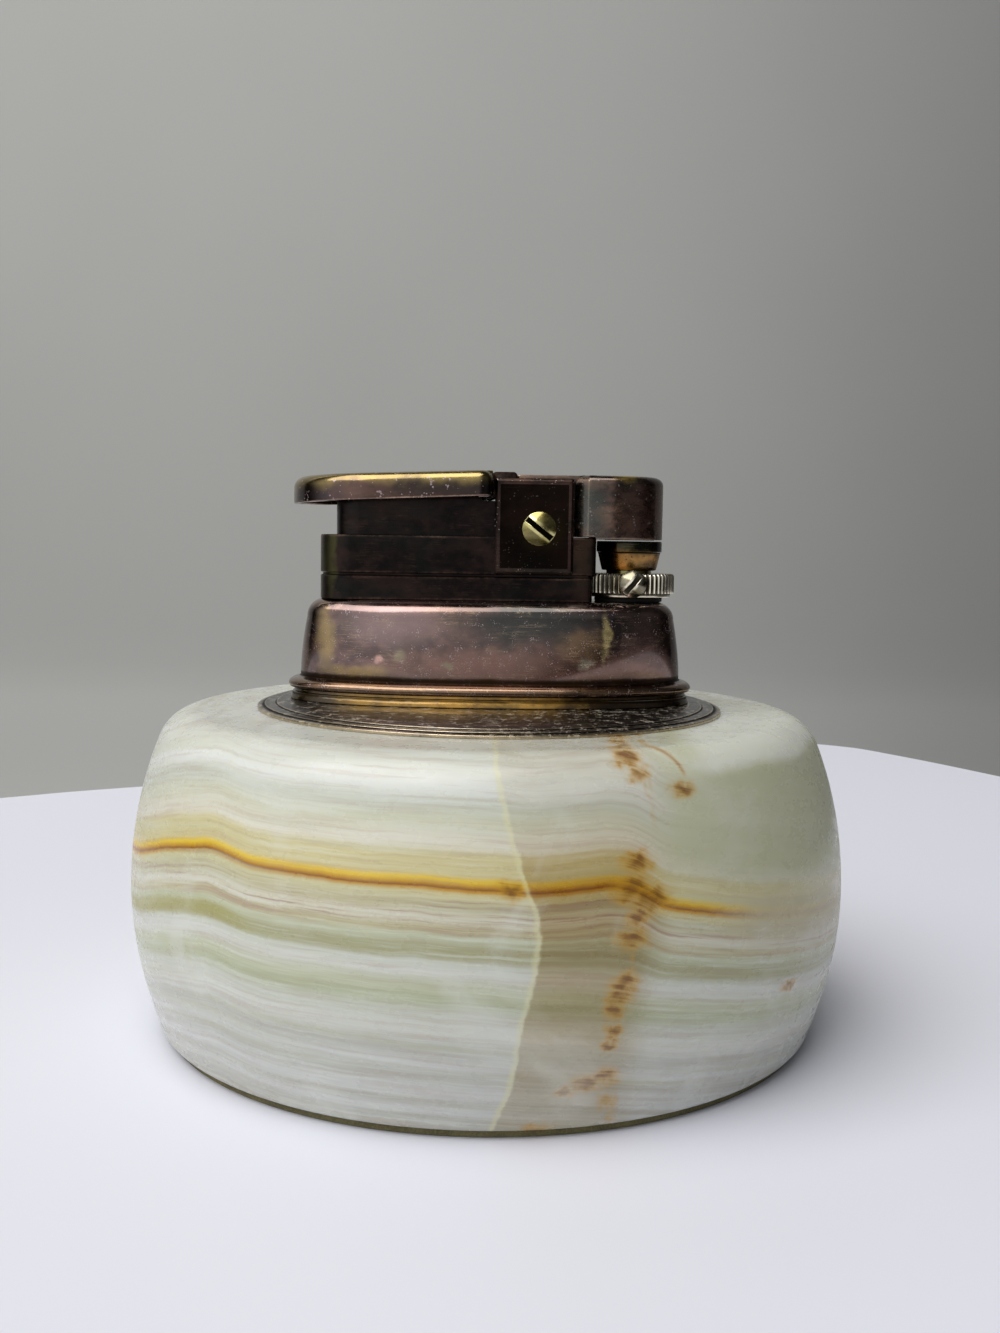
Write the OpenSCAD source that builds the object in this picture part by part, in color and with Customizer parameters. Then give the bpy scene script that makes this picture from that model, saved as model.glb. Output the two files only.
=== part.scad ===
// Table lighter: a turned stone base and a drop-in gas lighter movement with a thumb lever, a lifting
// hood, a spark wheel and a ring that sets the flame.
// Millimetres, +Z up. Origin: centre of the felt's underside, on the table. +X points to the burner.

/* [Stone base] */
// Widest diameter of the turned stone
stone_d = 100; // [92:0.5:120]
// Height of the stone without its felt
stone_h = 42.9; // [40:0.1:60]
// Height of the widest level above the stone's foot
belly_h = 19; // [14:0.5:24]
// How far the foot's edge lies inside the widest radius
foot_draw = 3.9; // [1:0.1:6]
// How far the side has drawn in at the level of the top
crown_draw = 5.4; // [2:0.1:8]
// Radius of the rounded shoulder
shoulder_r = 5.5; // [3:0.1:7]
// Thickness of the felt under the stone
felt_t = 1; // [0.6:0.1:3]
// How far the felt's edge lies inside the stone's foot
felt_inset = 2; // [1:0.1:6]
// Wall of the sleeve that lines the bore
liner_t = 0.5; // [0.4:0.1:1]
// Gap between the tank and the sleeve
liner_gap = 1.4; // [1.2:0.1:2]
// Free depth under the tank for the refill stem
bore_floor_gap = 2.6; // [1.6:0.1:5]

/* [Flange and collar] */
// Diameter of the round flange that sits on the stone
flange_d = 65.7; // [60:0.1:72]
// Thickness of the flange's sheet
flange_t = 0.8; // [0.5:0.1:1.2]
// Rise of the flange from its rim to its flat middle
flange_rise = 0.5; // [0.3:0.1:1]
// Length of the oval bead along X
bead_l = 57.4; // [55:0.1:60]
// Width of the oval bead along Y
bead_w = 25.6; // [24:0.1:30]
// Height of the plain ring under the bead
seat_h = 1.2; // [0.8:0.1:3]
// Height of the collar from the bead's foot to its flat top
collar_h = 13.1; // [11:0.1:18]
// How far the collar's foot lies inside the bead
bead_overhang = 1.7; // [1.2:0.1:2.2]
// How far the bowed side draws in between its foot and its shoulder
collar_lean = 1.1; // [0.5:0.1:1.6]
// Radius of the collar's rolled shoulder
collar_shoulder = 1.9; // [0.8:0.1:2.2]
// Wall of the collar and of the ring under it
collar_t = 0.8; // [0.6:0.1:1.2]
// Roundness of the bead's plan: 2 is an ellipse, more is squarer
bead_power = 2.4; // [2.2:0.1:3]
// Roundness of the plan of the collar's flat top
top_power = 3.8; // [2.4:0.1:5]

/* [Tank] */
// Outside diameter of the tank
tank_d = 48; // [46:0.5:52]
// Length of the tank below the flange
tank_h = 31.4; // [28:0.1:33]
// Wall of the tank
tank_t = 1; // [0.8:0.1:1.4]
// Radius of the rubber ring's section
grip_r = 0.9; // [0.7:0.05:1.1]
// Height of the rubber ring above the tank's lower edge
grip_up = 8; // [5:0.5:14]

/* [Chassis] */
// Length of the chassis along X
frame_l = 37.9; // [37:0.1:40]
// Width of the chassis along Y
frame_w = 14.4; // [14:0.1:15]
// Height of the lower plate
plate_h = 3.65; // [3:0.05:4]
// Height of the block on the plate
block_h = 5.25; // [5:0.05:6]
// Wall of the block beside the lever's pocket
frame_t = 1.1; // [1:0.05:1.2]
// Radius of the chassis's corners at the lever's end
frame_r = 4.3; // [3:0.1:4.5]
// Radius of its corners at the burner's end
frame_nose_r = 0.6; // [0.3:0.1:1]
// Height of the shadow line between the plate and the block
line_h = 0.35; // [0.15:0.05:0.5]
// Depth of that shadow line
line_d = 0.3; // [0.2:0.05:0.4]
// Floor left under the lever's pocket
floor_t = 1.6; // [1.2:0.1:2]

/* [Cheeks and axle] */
// Length of a cheek plate along X
cheek_l = 10.8; // [10.4:0.1:11]
// Height of a cheek plate
cheek_h = 13.1; // [12.8:0.05:13.3]
// Thickness of a cheek plate
cheek_t = 0.8; // [0.6:0.1:1.2]
// Height of the wheel's axle above the block's top
axle_up = 1.1; // [0.9:0.1:1.3]
// Radius of the axle's shank
axle_r = 1.25; // [1:0.05:1.3]
// Radius of the axle screw's head
axle_head_r = 2.3; // [1.8:0.1:2.6]
// Height of the axle screw's head
axle_head_h = 0.9; // [0.6:0.1:1.3]
// Turn of the axle screw's slot, seen from the front
axle_slot_turn = -38; // [-90:1:90]
// Distance of the hood's hinge from the axle, towards the lever
hinge_back = 4.95; // [4.8:0.05:5.1]
// Height of the hood's hinge above the axle
hinge_up = 5.7; // [5.5:0.05:5.9]
// Radius of the hinge pins
hinge_r = 0.8; // [0.6:0.05:0.9]

/* [Thumb lever] */
// How far the thumb pad reaches beyond the chassis
pad_reach = 4.1; // [2:0.1:5]
// Width of the thumb pad
pad_w = 23; // [22:0.1:25]
// Depth of the thumb pad's rim at the cheeks
pad_h = 3.5; // [3:0.05:3.8]
// Fall of the pad's lower edge, per millimetre of length
pad_slope = 0.043; // [0.02:0.001:0.05]
// Fall of the pad's top, per millimetre of length
pad_top_slope = 0.036; // [0.01:0.001:0.04]
// Radius of the pad's rounded top edge
pad_edge_r = 1.5; // [1:0.1:1.8]
// Wall of the pad's rim
pad_t = 0.8; // [0.6:0.1:1]
// How far the lever's channel lies inside the chassis's end
lever_inset = 2.2; // [1.9:0.1:4]
// Wall of the lever's channel
lever_t = 0.8; // [0.6:0.05:1]

/* [Hood] */
// Reach of the hood beyond the burner's axis
hood_reach = 4.6; // [4.5:0.05:5]
// Width of the hood
hood_w = 16; // [15.4:0.1:17]
// Height of the hood's rim above the block's top, negative is below
hood_drop = -0.2; // [-0.2:0.05:0]
// Height of the hood
hood_h = 8.7; // [8.5:0.05:9]
// Wall of the hood
hood_t = 0.9; // [0.7:0.05:1]
// Radius of the hood's rounded top edge
hood_edge_r = 1.2; // [1:0.1:1.8]
// Length of the bevel where the hood narrows to its neck
hood_bevel = 1.75; // [1:0.05:2]

/* [Burner] */
// Distance of the burner's axis from the wheel's axle
burner_x = 13.05; // [13:0.05:13.2]
// Diameter of the knurled ring
ring_d = 12.9; // [12.6:0.1:13]
// Height of the ring's knurled band
ring_h = 2.8; // [2.4:0.1:3]
// Number of flutes around the ring
flutes = 54; // [24:2:60]
// Depth of a flute
flute_d = 0.3; // [0.2:0.02:0.5]
// Diameter of the cup's upper band
cup_d = 8.9; // [8.4:0.1:9]
// Diameter of the cup's foot
cup_foot_d = 6.8; // [6.8:0.1:7.4]
// Height of the cup
cup_h = 4.1; // [3.8:0.1:4.2]
// Diameter of the cup's mouth
cup_mouth_d = 6.4; // [5.6:0.1:6.6]
// Lift of the jet when the hood opens
jet_lift = 0.8; // [0.4:0.1:0.8]
// Radius of the ring screw's head
ring_head_r = 1.9; // [1.5:0.1:2]
// Turn of the ring screw's slot, seen from the front
ring_slot_turn = 50; // [-90:1:90]

/* [Hidden] */
$fn = 64;

// Clearances
run_gap = 0.05;      // round running fits
side_gap = 0.2;      // flat faces that slide past each other
seat_gap = 0.15;     // parts that rest near each other
contact_gap = 0.12;  // the lever's finger over the hood's drive pin
edge = 0.01;         // lets a cut pass cleanly through a face
through = 100;       // reach of a cut that passes right through

// Stone
stone_r = stone_d / 2;
stone_foot_z = felt_t;
stone_top_z = felt_t + stone_h;
foot_edge_r = 1;
foot_power = 1.9;
crown_power = 2.1;

// Tank and bore
tank_r = tank_d / 2;
liner_r = tank_r + liner_gap;
bore_r = liner_r + liner_t;
lip_w = 1.6;
lip_t = 0.2;

// Flange, seat ring and collar
flange_r = flange_d / 2;
flange_rim_z = stone_top_z + flange_t * 0.75;
flange_top_z = flange_rim_z + flange_rise;
flange_low_z = flange_top_z - flange_t;
seat_inset = 0.7;
flat_r = bead_l / 2 - seat_inset + 0.4;
collar_z = flange_top_z + seat_h;
collar_top_z = collar_z + collar_h;
collar_points = 72;
bow_power = 1.6;
bead_profile = [[0.35, 0], [0.08, 0.25], [0, 0.65], [0.1, 1.1], [0.45, 1.5]];
bead_back = [0.5, 1.75];
collar_foot_h = 2.1;
tank_top_t = 0.8;
tank_top_z = flange_low_z - tank_top_t;
tank_low_z = tank_top_z - tank_h;
bore_floor_z = tank_low_z - bore_floor_gap;
tank_base_up = 1;
tank_base_t = 1.6;
grip_proud = 0.05;

// Chassis
axle_x = 6.55;
frame_nose = 7.45;
frame_x1 = axle_x + frame_nose;
frame_x0 = frame_x1 - frame_l;
frame_y = frame_w / 2;
pocket_y = frame_y - frame_t;
plate_top_z = collar_top_z + plate_h;
block_top_z = plate_top_z + block_h;
pocket_z = collar_top_z + floor_t;
pocket_x1 = frame_x1 - 2;

// Posts inside the collar, and the screws from the collar into the chassis
tie_r = 1.8;
tie_back = 9.9;
tie_front = 6;
fix_r = 1;
fix_head_r = 1.9;
fix_head_h = 1.2;
fix_slot_w = 0.6;
fix_slot_h = 0.5;
fix_head_z = collar_top_z - collar_t;
frame_screw_places = [
    [frame_x0 + 6.9, 3.6, pocket_z - 0.3],
    [axle_x + 4.6, 4.8, plate_top_z - line_h]
];

// Axle, hinge and cheeks
axle_z = block_top_z + axle_up;
hinge_x = axle_x - hinge_back;
hinge_z = axle_z + hinge_up;
cheek_x0 = axle_x - 6.1;
cheek_x1 = cheek_x0 + cheek_l;
cheek_z0 = plate_top_z + 0.1;
cheek_z1 = cheek_z0 + cheek_h;
cheek_y = frame_y + cheek_t;
ear_top_z = cheek_z1 - 0.55;
knuckle_x0 = hinge_x - 1.6;
knuckle_l = 3.5;
knuckle_r = 0.6;
knuckle_top_z = hinge_z + 2;
spacer_r = 2;
wheel_spacer_r = 2.6;
slot_w = 0.7;
slot_h = 0.55;

// Layers across the movement, from the middle outwards
wheel_y = 2.1;
ratchet_y0 = wheel_y + 0.1;
ratchet_y1 = ratchet_y0 + 0.9;
arm_y0 = ratchet_y1 + side_gap;
arm_y1 = arm_y0 + 1;
plate_y1 = pocket_y - side_gap;
plate_y0 = plate_y1 - 1;

// Lever and pad
lever_y = pocket_y - side_gap;
lever_x1 = -1.8;
lever_x0 = frame_x0 + lever_inset;
lever_z0 = block_top_z - 1;
pad_x1 = 0.25;
pad_x0 = frame_x0 - pad_reach;
pad_r = pad_w / 2;
pad_corner_r = pad_edge_r + 0.3;
pad_top_z = hinge_z + 2.1;
pad_roof_t = 1.9;
pad_roof_z = pad_top_z - pad_roof_t;
notch_l = 1.9;
notch_y = cheek_y + side_gap;
pad_screw_in = 3.5;
pad_screw_back = 3;
pad_screw_places = [lever_x0 + pad_screw_in, lever_x1 - pad_screw_back];
spring_x = (pad_screw_places[0] + pad_screw_places[1]) / 2;
peg_r = 1.5;
peg_h = 2.5;
lever_wire = 0.35;
lever_coil_r = 2.4;
lever_turns = 9;
lever_end_r = 3.4;
pad_screw_r = 0.8;
pad_screw_head_r = 1.5;
pad_screw_head_h = 0.8;

// Drive from the lever to the hood
tail_r = 2.2;
tail_angle = 205;
drive_r = 0.5;
drive_x = hinge_x + tail_r * cos(tail_angle);
drive_z = hinge_z + tail_r * sin(tail_angle);
finger_z = drive_z + drive_r + contact_gap;
finger_t = 0.8;
boss_r = 2.2;
skirt_z = drive_z - 1;
skirt_reach = 1.4;
eye_r = 1.5;
arm_reach = 4;
arm_drop = 3;
bridge_x = 2;
bridge_l = 2;
bridge_t = 0.8;

// Wheel and ratchet
wheel_r = 4.3;
wheel_teeth = 36;
tooth_d = 0.35;
ratchet_teeth = 24;
ratchet_r = 3.5;
ratchet_root = 2.9;

// Flint
flint_tube_r = 2.3;
flint_bore_r = 1.5;
flint_r = 1.25;
flint_top_z = axle_z - wheel_r - 0.06;
flint_h = 5;
flint_tube_top = flint_top_z - 0.75;
flint_tube_up = 1;
flint_tube_z = tank_low_z + flint_tube_up;
flint_rod_h = 25;
flint_rod_r = 0.9;
flint_thread_h = 8;
flint_head_r = 2.6;
flint_head_h = 1;
flint_coil_r = 1;
flint_wire = 0.25;
flint_turns = 10;

// Burner
bx = axle_x + burner_x;
ring_r = ring_d / 2;
washer_t = 0.6;
washer_r = 4.8;
valve_r = 3.2;
valve_low_h = 5.4;
valve_low_z = tank_top_z - valve_low_h;
valve_gap = 0.3;
valve_low_r = tank_r - tank_t - valve_gap - bx;
gas_port_r = 0.4;
ring_z = collar_top_z + washer_t + 0.1;
ring_foot_h = 0.5;
ring_top_z = ring_z + ring_foot_h + ring_h;
cup_z = ring_top_z + 0.4;
cup_top_z = cup_z + cup_h;
cup_floor_t = 1;
jet_r = 1.2;
jet_tip_r = 0.9;
jet_collar_r = 2.1;
jet_collar_h = 0.8;
jet_guide_down = 8.7;
jet_guide_z = cup_z - jet_guide_down;
jet_bore_r = 2.2;
jet_well_h = 5.5;
jet_stem_h = 4.5;
jet_port_r = 0.3;
jet_tip_h = 0.9;
jet_taper_h = 0.3;
jet_coil_r = 1.65;
jet_turns = 6;
cup_edge = 0.2;
cup_band_up = 2.6;
cup_dish = 0.6;
jet_collar_z = cup_z - jet_lift - jet_collar_h - 0.1;
jet_top_z = cup_top_z - 0.5;
jet_wire = 0.22;
recess_r = ring_r + 0.3;
ring_screw_z = ring_z + ring_foot_h + ring_h / 2;
ring_head_h = 1.1;
ring_shank_r = 0.8;
ring_foot_in = 0.5;
ring_edge = 0.6;

// Hood
hood_z0 = block_top_z + hood_drop;
hood_z1 = hood_z0 + hood_h;
hood_roof_t = 1;
hood_roof_z = hood_z1 - hood_roof_t;
hood_x0 = cheek_x1 + side_gap;
hood_x1 = bx + hood_reach;
hood_y = hood_w / 2;
hood_neck_y = hood_y - 1.4;
neck_y = plate_y1;
neck_x0 = hinge_x + 1.7;
hood_clear_z = block_top_z + 0.3;
seal_z = cup_top_z + seat_gap;
seal_t = 0.8;
seal_r = 3.5;
holder_t = 0.5;
holder_post_r = 1.1;

// Refill valve
refill_x = -9;
refill_r = 3.4;
refill_flange_r = 4.2;
refill_stem_r = 1.2;
refill_travel = 1.2;
refill_bore_r = 2.1;
refill_flange_t = 1;
refill_cap_t = 1;
refill_stem_out = 0.6;
refill_stem_in = 2;
refill_stop_t = 0.8;
refill_coil_r = 1.6;
refill_turns = 4;
refill_floor_t = 1.8;
refill_h = 10;
refill_floor_z = tank_low_z + refill_floor_t;
refill_top_z = tank_low_z + refill_h;
refill_wire = 0.22;

// Colours
stone_colour = "#c9cfbd";
felt_colour = "#3a3426";
copper_colour = "#5b4038";
flange_colour = "#4a423c";
brass_colour = "#b08a45";
nickel_colour = "#8f8468";
steel_colour = "#77787a";
rubber_colour = "#26231f";

// Radius of the stone's side at a height above its foot
function side_r(h) = h < belly_h
    ? stone_r - foot_draw * pow((belly_h - h) / belly_h, foot_power)
    : stone_r - crown_draw * pow((h - belly_h) / (stone_h - belly_h), crown_power);

// Lean of the stone's side from the upright, degrees, above the belly
function side_lean(h) = atan(crown_draw * crown_power / (stone_h - belly_h)
    * pow((h - belly_h) / (stone_h - belly_h), crown_power - 1));

// Superellipse of half-length a, half-width b and the given power, as points in plan
function oval(a, b, power) = [
    for (i = [0 : collar_points - 1])
        let (c = cos(360 * i / collar_points), s = sin(360 * i / collar_points))
        [a * sign(c) * pow(abs(c), 2 / power), b * sign(s) * pow(abs(s), 2 / power)]
];

// The bead's oval drawn in by d at height z; it grows squarer towards the collar's top
function collar_ring(d, z) = let (
        up = min(max((z - collar_z - collar_foot_h) / (collar_h - collar_foot_h), 0), 1),
        power = bead_power + (top_power - bead_power) * up
    ) [for (p = oval(bead_l / 2 - d, bead_w / 2 - d, power)) [p[0], p[1], z]];

// How far the collar's side lies inside the bead at a height between its foot and its shoulder
function collar_side(z) = let (foot_z = collar_z + collar_foot_h, top = collar_top_z - collar_shoulder)
    bead_overhang + collar_lean * pow((z - foot_z) / (top - foot_z), bow_power);

function arc(cx, cy, r, a0, a1, steps) = [
    for (i = [0 : steps]) let (a = a0 + (a1 - a0) * i / steps) [cx + r * cos(a), cy + r * sin(a)]
];

// Plan of the thumb pad, drawn in by d: round at the thumb's end, square at the cheeks
function pad_plan(d) = concat(
    arc(pad_x0 + pad_r, 0, pad_r - d, 90, 270, 24),
    arc(pad_x1 - pad_corner_r, pad_corner_r - pad_r, pad_corner_r - d, -90, 0, 4),
    arc(pad_x1 - pad_corner_r, pad_r - pad_corner_r, pad_corner_r - d, 0, 90, 4)
);

function pad_low(x) = pad_top_z - pad_h + pad_slope * (x - pad_x1);
function pad_high(x) = pad_top_z + pad_top_slope * (x - pad_x1);

// Plan of the hood, drawn in by d: round at the burner, bevelled towards the neck
function hood_plan(d) = let (
        a = atan2(hood_y - hood_neck_y, hood_bevel),
        left = 1 / cos(a) - tan(a),
        right = (1 / cos(a) - 1) / tan(a),
        neck = [hood_x0 + d, hood_neck_y - d * left],
        wide = [hood_x0 + hood_bevel + d * right, hood_y - d]
    ) concat(
        arc(hood_x1 - hood_y, 0, hood_y - d, -90, 90, 24),
        [wide, neck, [neck[0], -neck[1]], [wide[0], -wide[1]]]
    );

// Side profile of a low dome of radius r and height h, for turning
function dome(r, h, steps = 8) = let (ball = (r * r + h * h) / (2 * h), a = asin(r / ball)) concat(
    [[0, 0]],
    [for (i = [0 : steps]) let (t = a * (1 - i / steps)) [ball * sin(t), h - ball + ball * cos(t)]]
);

// Centre line of a spring: even turns between two heights
function coil_path(r, wire, z0, z1, turns) = [
    for (i = [0 : 8 * turns])
        let (a = 45 * i, s = i / (8 * turns))
        [r * cos(a), r * sin(a), z0 + wire + (z1 - z0 - 2 * wire) * s, a]
];

// Least gap between neighbouring turns of a spring, measured on its centre line's points
function coil_gap(path, wire) = min([
    for (i = [0 : len(path) - 9])
        norm([path[i + 8][0] - path[i][0], path[i + 8][1] - path[i][1], path[i + 8][2] - path[i][2]])
]) - 2 * wire;

// Closed solid through a list of rings with equal numbers of points, from low to high
module loft(rings) {
    n = len(rings[0]);
    m = len(rings);
    polyhedron(
        points = [for (ring = rings) for (p = ring) p],
        faces = concat(
            [[for (i = [0 : n - 1]) i]],
            [[for (i = [n - 1 : -1 : 0]) (m - 1) * n + i]],
            [for (k = [0 : m - 2]) for (i = [0 : n - 1])
                [k * n + i, (k + 1) * n + i, (k + 1) * n + (i + 1) % n]],
            [for (k = [0 : m - 2]) for (i = [0 : n - 1])
                [k * n + i, (k + 1) * n + (i + 1) % n, k * n + (i + 1) % n]]
        ),
        convexity = 6
    );
}

// One unbroken wound wire along a spring's path
module coil(path, wire, sides = 6) {
    loft([
        for (p = path)
            [for (j = [0 : sides - 1])
                let (u = -360 * j / sides, out = wire * cos(u))
                [p[0] + out * cos(p[3]), p[1] + out * sin(p[3]), p[2] + wire * sin(u)]]
    ]);
}

// Round bar along Y, centred at x and z
module bar_y(x, z, r, y0, y1) {
    translate([x, y1, z]) rotate([90, 0, 0]) cylinder(r = r, h = y1 - y0);
}

// Plate drawn in the XZ plane, between two depths along Y
module plate_xz(y0, y1) {
    translate([0, y1, 0]) rotate([90, 0, 0]) linear_extrude(y1 - y0) children();
}

// The same thing on both sides of the middle plane
module both_sides() {
    children();
    mirror([0, 1, 0]) children();
}

// Upright round bar at x and y
module post(x, y, r, z0, z1) {
    translate([x, y, z0]) cylinder(r = r, h = z1 - z0);
}

// Domed head with a straight slot, facing the front
module slotted_head(r, h, turn) {
    rotate([90, 0, 0]) rotate([0, 0, turn]) difference() {
        rotate_extrude() polygon(dome(r, h));
        translate([-r - 1, -slot_w / 2, h - slot_h]) cube([2 * r + 2, slot_w, 1]);
    }
}

// Outline of the chassis, drawn in by d
module frame_outline(d = 0) {
    x0 = frame_x0 + d;
    x1 = frame_x1 - d;
    y = frame_y - d;
    r = frame_r - d;
    nose = max(frame_nose_r - d, 0.05);
    union() {
        translate([x0 + r, -y]) square([x1 - nose - x0 - r, 2 * y]);
        translate([x0, -y + r]) square([x1 - x0 - nose, 2 * (y - r)]);
        translate([x1 - 2 * nose, -y + nose]) square([2 * nose, 2 * (y - nose)]);
        for (s = [-1, 1]) {
            translate([x0 + r, s * (y - r)]) circle(r);
            translate([x1 - nose, s * (y - nose)]) circle(nose, $fn = 24);
        }
    }
}

module stone_base() {
    lean = side_lean(stone_h - 0.65 * shoulder_r);
    top_h = stone_h - shoulder_r * (1 - sin(lean));
    shoulder_c = side_r(top_h) - shoulder_r * cos(lean);
    outline = concat(
        [[0, 0]],
        arc(side_r(foot_edge_r) - foot_edge_r, foot_edge_r, foot_edge_r, -90, 0, 4),
        [for (i = [1 : 18]) let (h = foot_edge_r + (top_h - foot_edge_r) * i / 18) [side_r(h), h]],
        [for (p = arc(shoulder_c, stone_h - shoulder_r, shoulder_r, lean, 90, 10))
            if (p[1] > top_h + 0.05) p],
        [[0, stone_h]]
    );
    color(stone_colour) difference() {
        translate([0, 0, stone_foot_z]) rotate_extrude($fn = 128) polygon(outline);
        post(0, 0, bore_r, bore_floor_z, stone_top_z + 1);
    }
}

module felt_pad() {
    color(felt_colour) post(0, 0, side_r(0) - felt_inset, 0, felt_t);
}

module bore_liner() {
    color(brass_colour) translate([0, 0, bore_floor_z]) rotate_extrude() polygon([
        [liner_r, 0],
        [bore_r, 0],
        [bore_r, stone_top_z - bore_floor_z],
        [bore_r + lip_w, stone_top_z - bore_floor_z],
        [bore_r + lip_w, stone_top_z - bore_floor_z + lip_t],
        [liner_r, stone_top_z - bore_floor_z + lip_t]
    ]);
}

module flange_plate() {
    rim_t = flange_rim_z - stone_top_z;
    color(flange_colour) difference() {
        rotate_extrude($fn = 128) polygon([
            [0, flange_low_z],
            [flat_r - 0.4, flange_low_z],
            [flange_r - 1.4, stone_top_z],
            [flange_r, stone_top_z],
            [flange_r, stone_top_z + rim_t * 0.7],
            [flange_r - 0.25, flange_rim_z],
            [flat_r, flange_top_z],
            [0, flange_top_z]
        ]);
        post(axle_x, 0, flint_tube_r, 0, through);
        post(bx, 0, valve_r, 0, through);
    }
}

module seat_ring() {
    color(copper_colour) translate([0, 0, flange_top_z]) linear_extrude(seat_h) difference() {
        polygon(oval(bead_l / 2 - seat_inset, bead_w / 2 - seat_inset, bead_power));
        polygon(oval(bead_l / 2 - seat_inset - collar_t, bead_w / 2 - seat_inset - collar_t, bead_power));
    }
}

module collar() {
    foot = bead_overhang;
    lean = foot + collar_lean;
    foot_z = collar_z + collar_foot_h;
    top = collar_top_z - collar_shoulder;
    color(copper_colour) difference() {
        loft(concat(
            [for (p = bead_profile) collar_ring(p[0], collar_z + p[1])],
            [collar_ring(foot - bead_back[0], collar_z + bead_back[1])],
            [for (i = [0 : 4]) let (z = foot_z + (top - foot_z) * i / 5) collar_ring(collar_side(z), z)],
            [for (a = [0 : 15 : 90])
                collar_ring(lean + collar_shoulder * (1 - cos(a)), top + collar_shoulder * sin(a))]
        ));
        loft([
            collar_ring(seat_inset + collar_t, collar_z - 1),
            collar_ring(foot + collar_t, collar_z + 1.6),
            collar_ring(collar_side((collar_z + top) / 2) + collar_t, (collar_z + top) / 2),
            collar_ring(lean + collar_t, top),
            collar_ring(lean + collar_shoulder, collar_top_z - collar_t)
        ]);
        post(axle_x, 0, flint_tube_r, 0, through);
        post(bx, 0, valve_r, 0, through);
        frame_screw_shanks();
    }
}

module tank_shell() {
    color(brass_colour) difference() {
        post(0, 0, tank_r, tank_low_z, tank_top_z);
        post(0, 0, tank_r - tank_t, tank_low_z - 1, tank_top_z + 1);
        grip_torus(grip_r + grip_proud);
    }
}

module grip_torus(r) {
    translate([0, 0, tank_low_z + grip_up])
        rotate_extrude() translate([liner_r - grip_r - grip_proud, 0]) circle(r, $fn = 32);
}

module grip_ring() {
    color(rubber_colour) grip_torus(grip_r);
}

module tank_base() {
    color(brass_colour) difference() {
        post(0, 0, tank_r - tank_t, tank_low_z + tank_base_up, tank_low_z + tank_base_up + tank_base_t);
        post(axle_x, 0, flint_tube_r, 0, through);
        post(refill_x, 0, refill_r, 0, through);
    }
}

module tank_top() {
    color(brass_colour) difference() {
        post(0, 0, tank_r, tank_top_z, flange_low_z);
        post(axle_x, 0, flint_tube_r, 0, through);
        post(bx, 0, valve_r, 0, through);
    }
}

module tie_posts() {
    color(brass_colour) for (x = [frame_x0 + tie_back, axle_x + tie_front])
        post(x, 0, tie_r, flange_top_z, collar_top_z - collar_t);
}

module frame_screw_shanks() {
    for (p = frame_screw_places)
        both_sides() post(p[0], p[1], fix_r, fix_head_z - edge, p[2]);
}

module frame_screws() {
    color(steel_colour) {
        frame_screw_shanks();
        for (p = frame_screw_places) both_sides() difference() {
            post(p[0], p[1], fix_head_r, fix_head_z - fix_head_h, fix_head_z);
            translate([p[0] - 2 * fix_head_r, p[1] - fix_slot_w / 2, fix_head_z - fix_head_h - 1])
                cube([4 * fix_head_r, fix_slot_w, 1 + fix_slot_h]);
        }
    }
}

module frame_plate() {
    color(copper_colour) difference() {
        union() {
            translate([0, 0, collar_top_z]) linear_extrude(plate_h - line_h) frame_outline();
            translate([0, 0, plate_top_z - line_h - edge]) linear_extrude(line_h + edge)
                frame_outline(line_d);
        }
        pocket(frame_t, pocket_z, lever_x1 + 1);
        post(bx, 0, recess_r, 0, through);
        post(axle_x, 0, flint_tube_r, 0, through);
        frame_screw_shanks();
    }
    color(copper_colour) post(spring_x, 0, peg_r, pocket_z - edge, pocket_z + peg_h);
}

module frame_block() {
    color(copper_colour) difference() {
        union() {
            translate([0, 0, plate_top_z]) linear_extrude(block_h) frame_outline();
            both_sides() plate_xz(pocket_y, frame_y) ear_outline();
        }
        pocket(frame_t, plate_top_z - 1, pocket_x1);
        post(bx, 0, recess_r, plate_top_z - 1, ring_top_z + 0.5);
        bar_y(axle_x, axle_z, axle_r, -through, through);
        bar_y(hinge_x, hinge_z, hinge_r, -through, through);
    }
}

// Room for the lever inside the chassis, drawn in by d, from a height upwards and as far as x1
module pocket(d, z0, x1) {
    translate([0, 0, z0]) linear_extrude(through) intersection() {
        frame_outline(d);
        translate([frame_x0, -frame_w]) square([x1 - frame_x0, 2 * frame_w]);
    }
}

// Side wall of the movement with its raised hinge knuckle, in the XZ plane
module ear_outline() {
    x0 = cheek_x0 + 0.35;
    x1 = cheek_x1 - 0.25;
    z0 = hinge_z - 1;
    translate([x0, plate_top_z + 1]) square([x1 - x0, ear_top_z - plate_top_z - 1]);
    translate([knuckle_x0, z0]) square([knuckle_l, knuckle_top_z - knuckle_r - z0]);
    translate([knuckle_x0 + knuckle_r, z0]) square([knuckle_l - 2 * knuckle_r, knuckle_top_z - z0]);
    for (x = [knuckle_x0 + knuckle_r, knuckle_x0 + knuckle_l - knuckle_r])
        translate([x, knuckle_top_z - knuckle_r]) circle(knuckle_r);
}

module cheek(y0, y1) {
    color(copper_colour) plate_xz(y0, y1) difference() {
        translate([cheek_x0, cheek_z0]) square([cheek_l, cheek_h]);
        translate([axle_x, axle_z]) circle(axle_r);
    }
}

module front_cheek() {
    cheek(-cheek_y, -frame_y);
}

module rear_cheek() {
    cheek(frame_y, cheek_y);
}

module axle_screw() {
    color(brass_colour) {
        bar_y(axle_x, axle_z, axle_r, -cheek_y - edge, cheek_y);
        translate([axle_x, -cheek_y, axle_z]) slotted_head(axle_head_r, axle_head_h, axle_slot_turn);
    }
}

module axle_spacers() {
    color(steel_colour) both_sides() difference() {
        bar_y(axle_x, axle_z, spacer_r, arm_y1 + side_gap, pocket_y);
        bar_y(axle_x, axle_z, axle_r, 0, through);
    }
}

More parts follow.
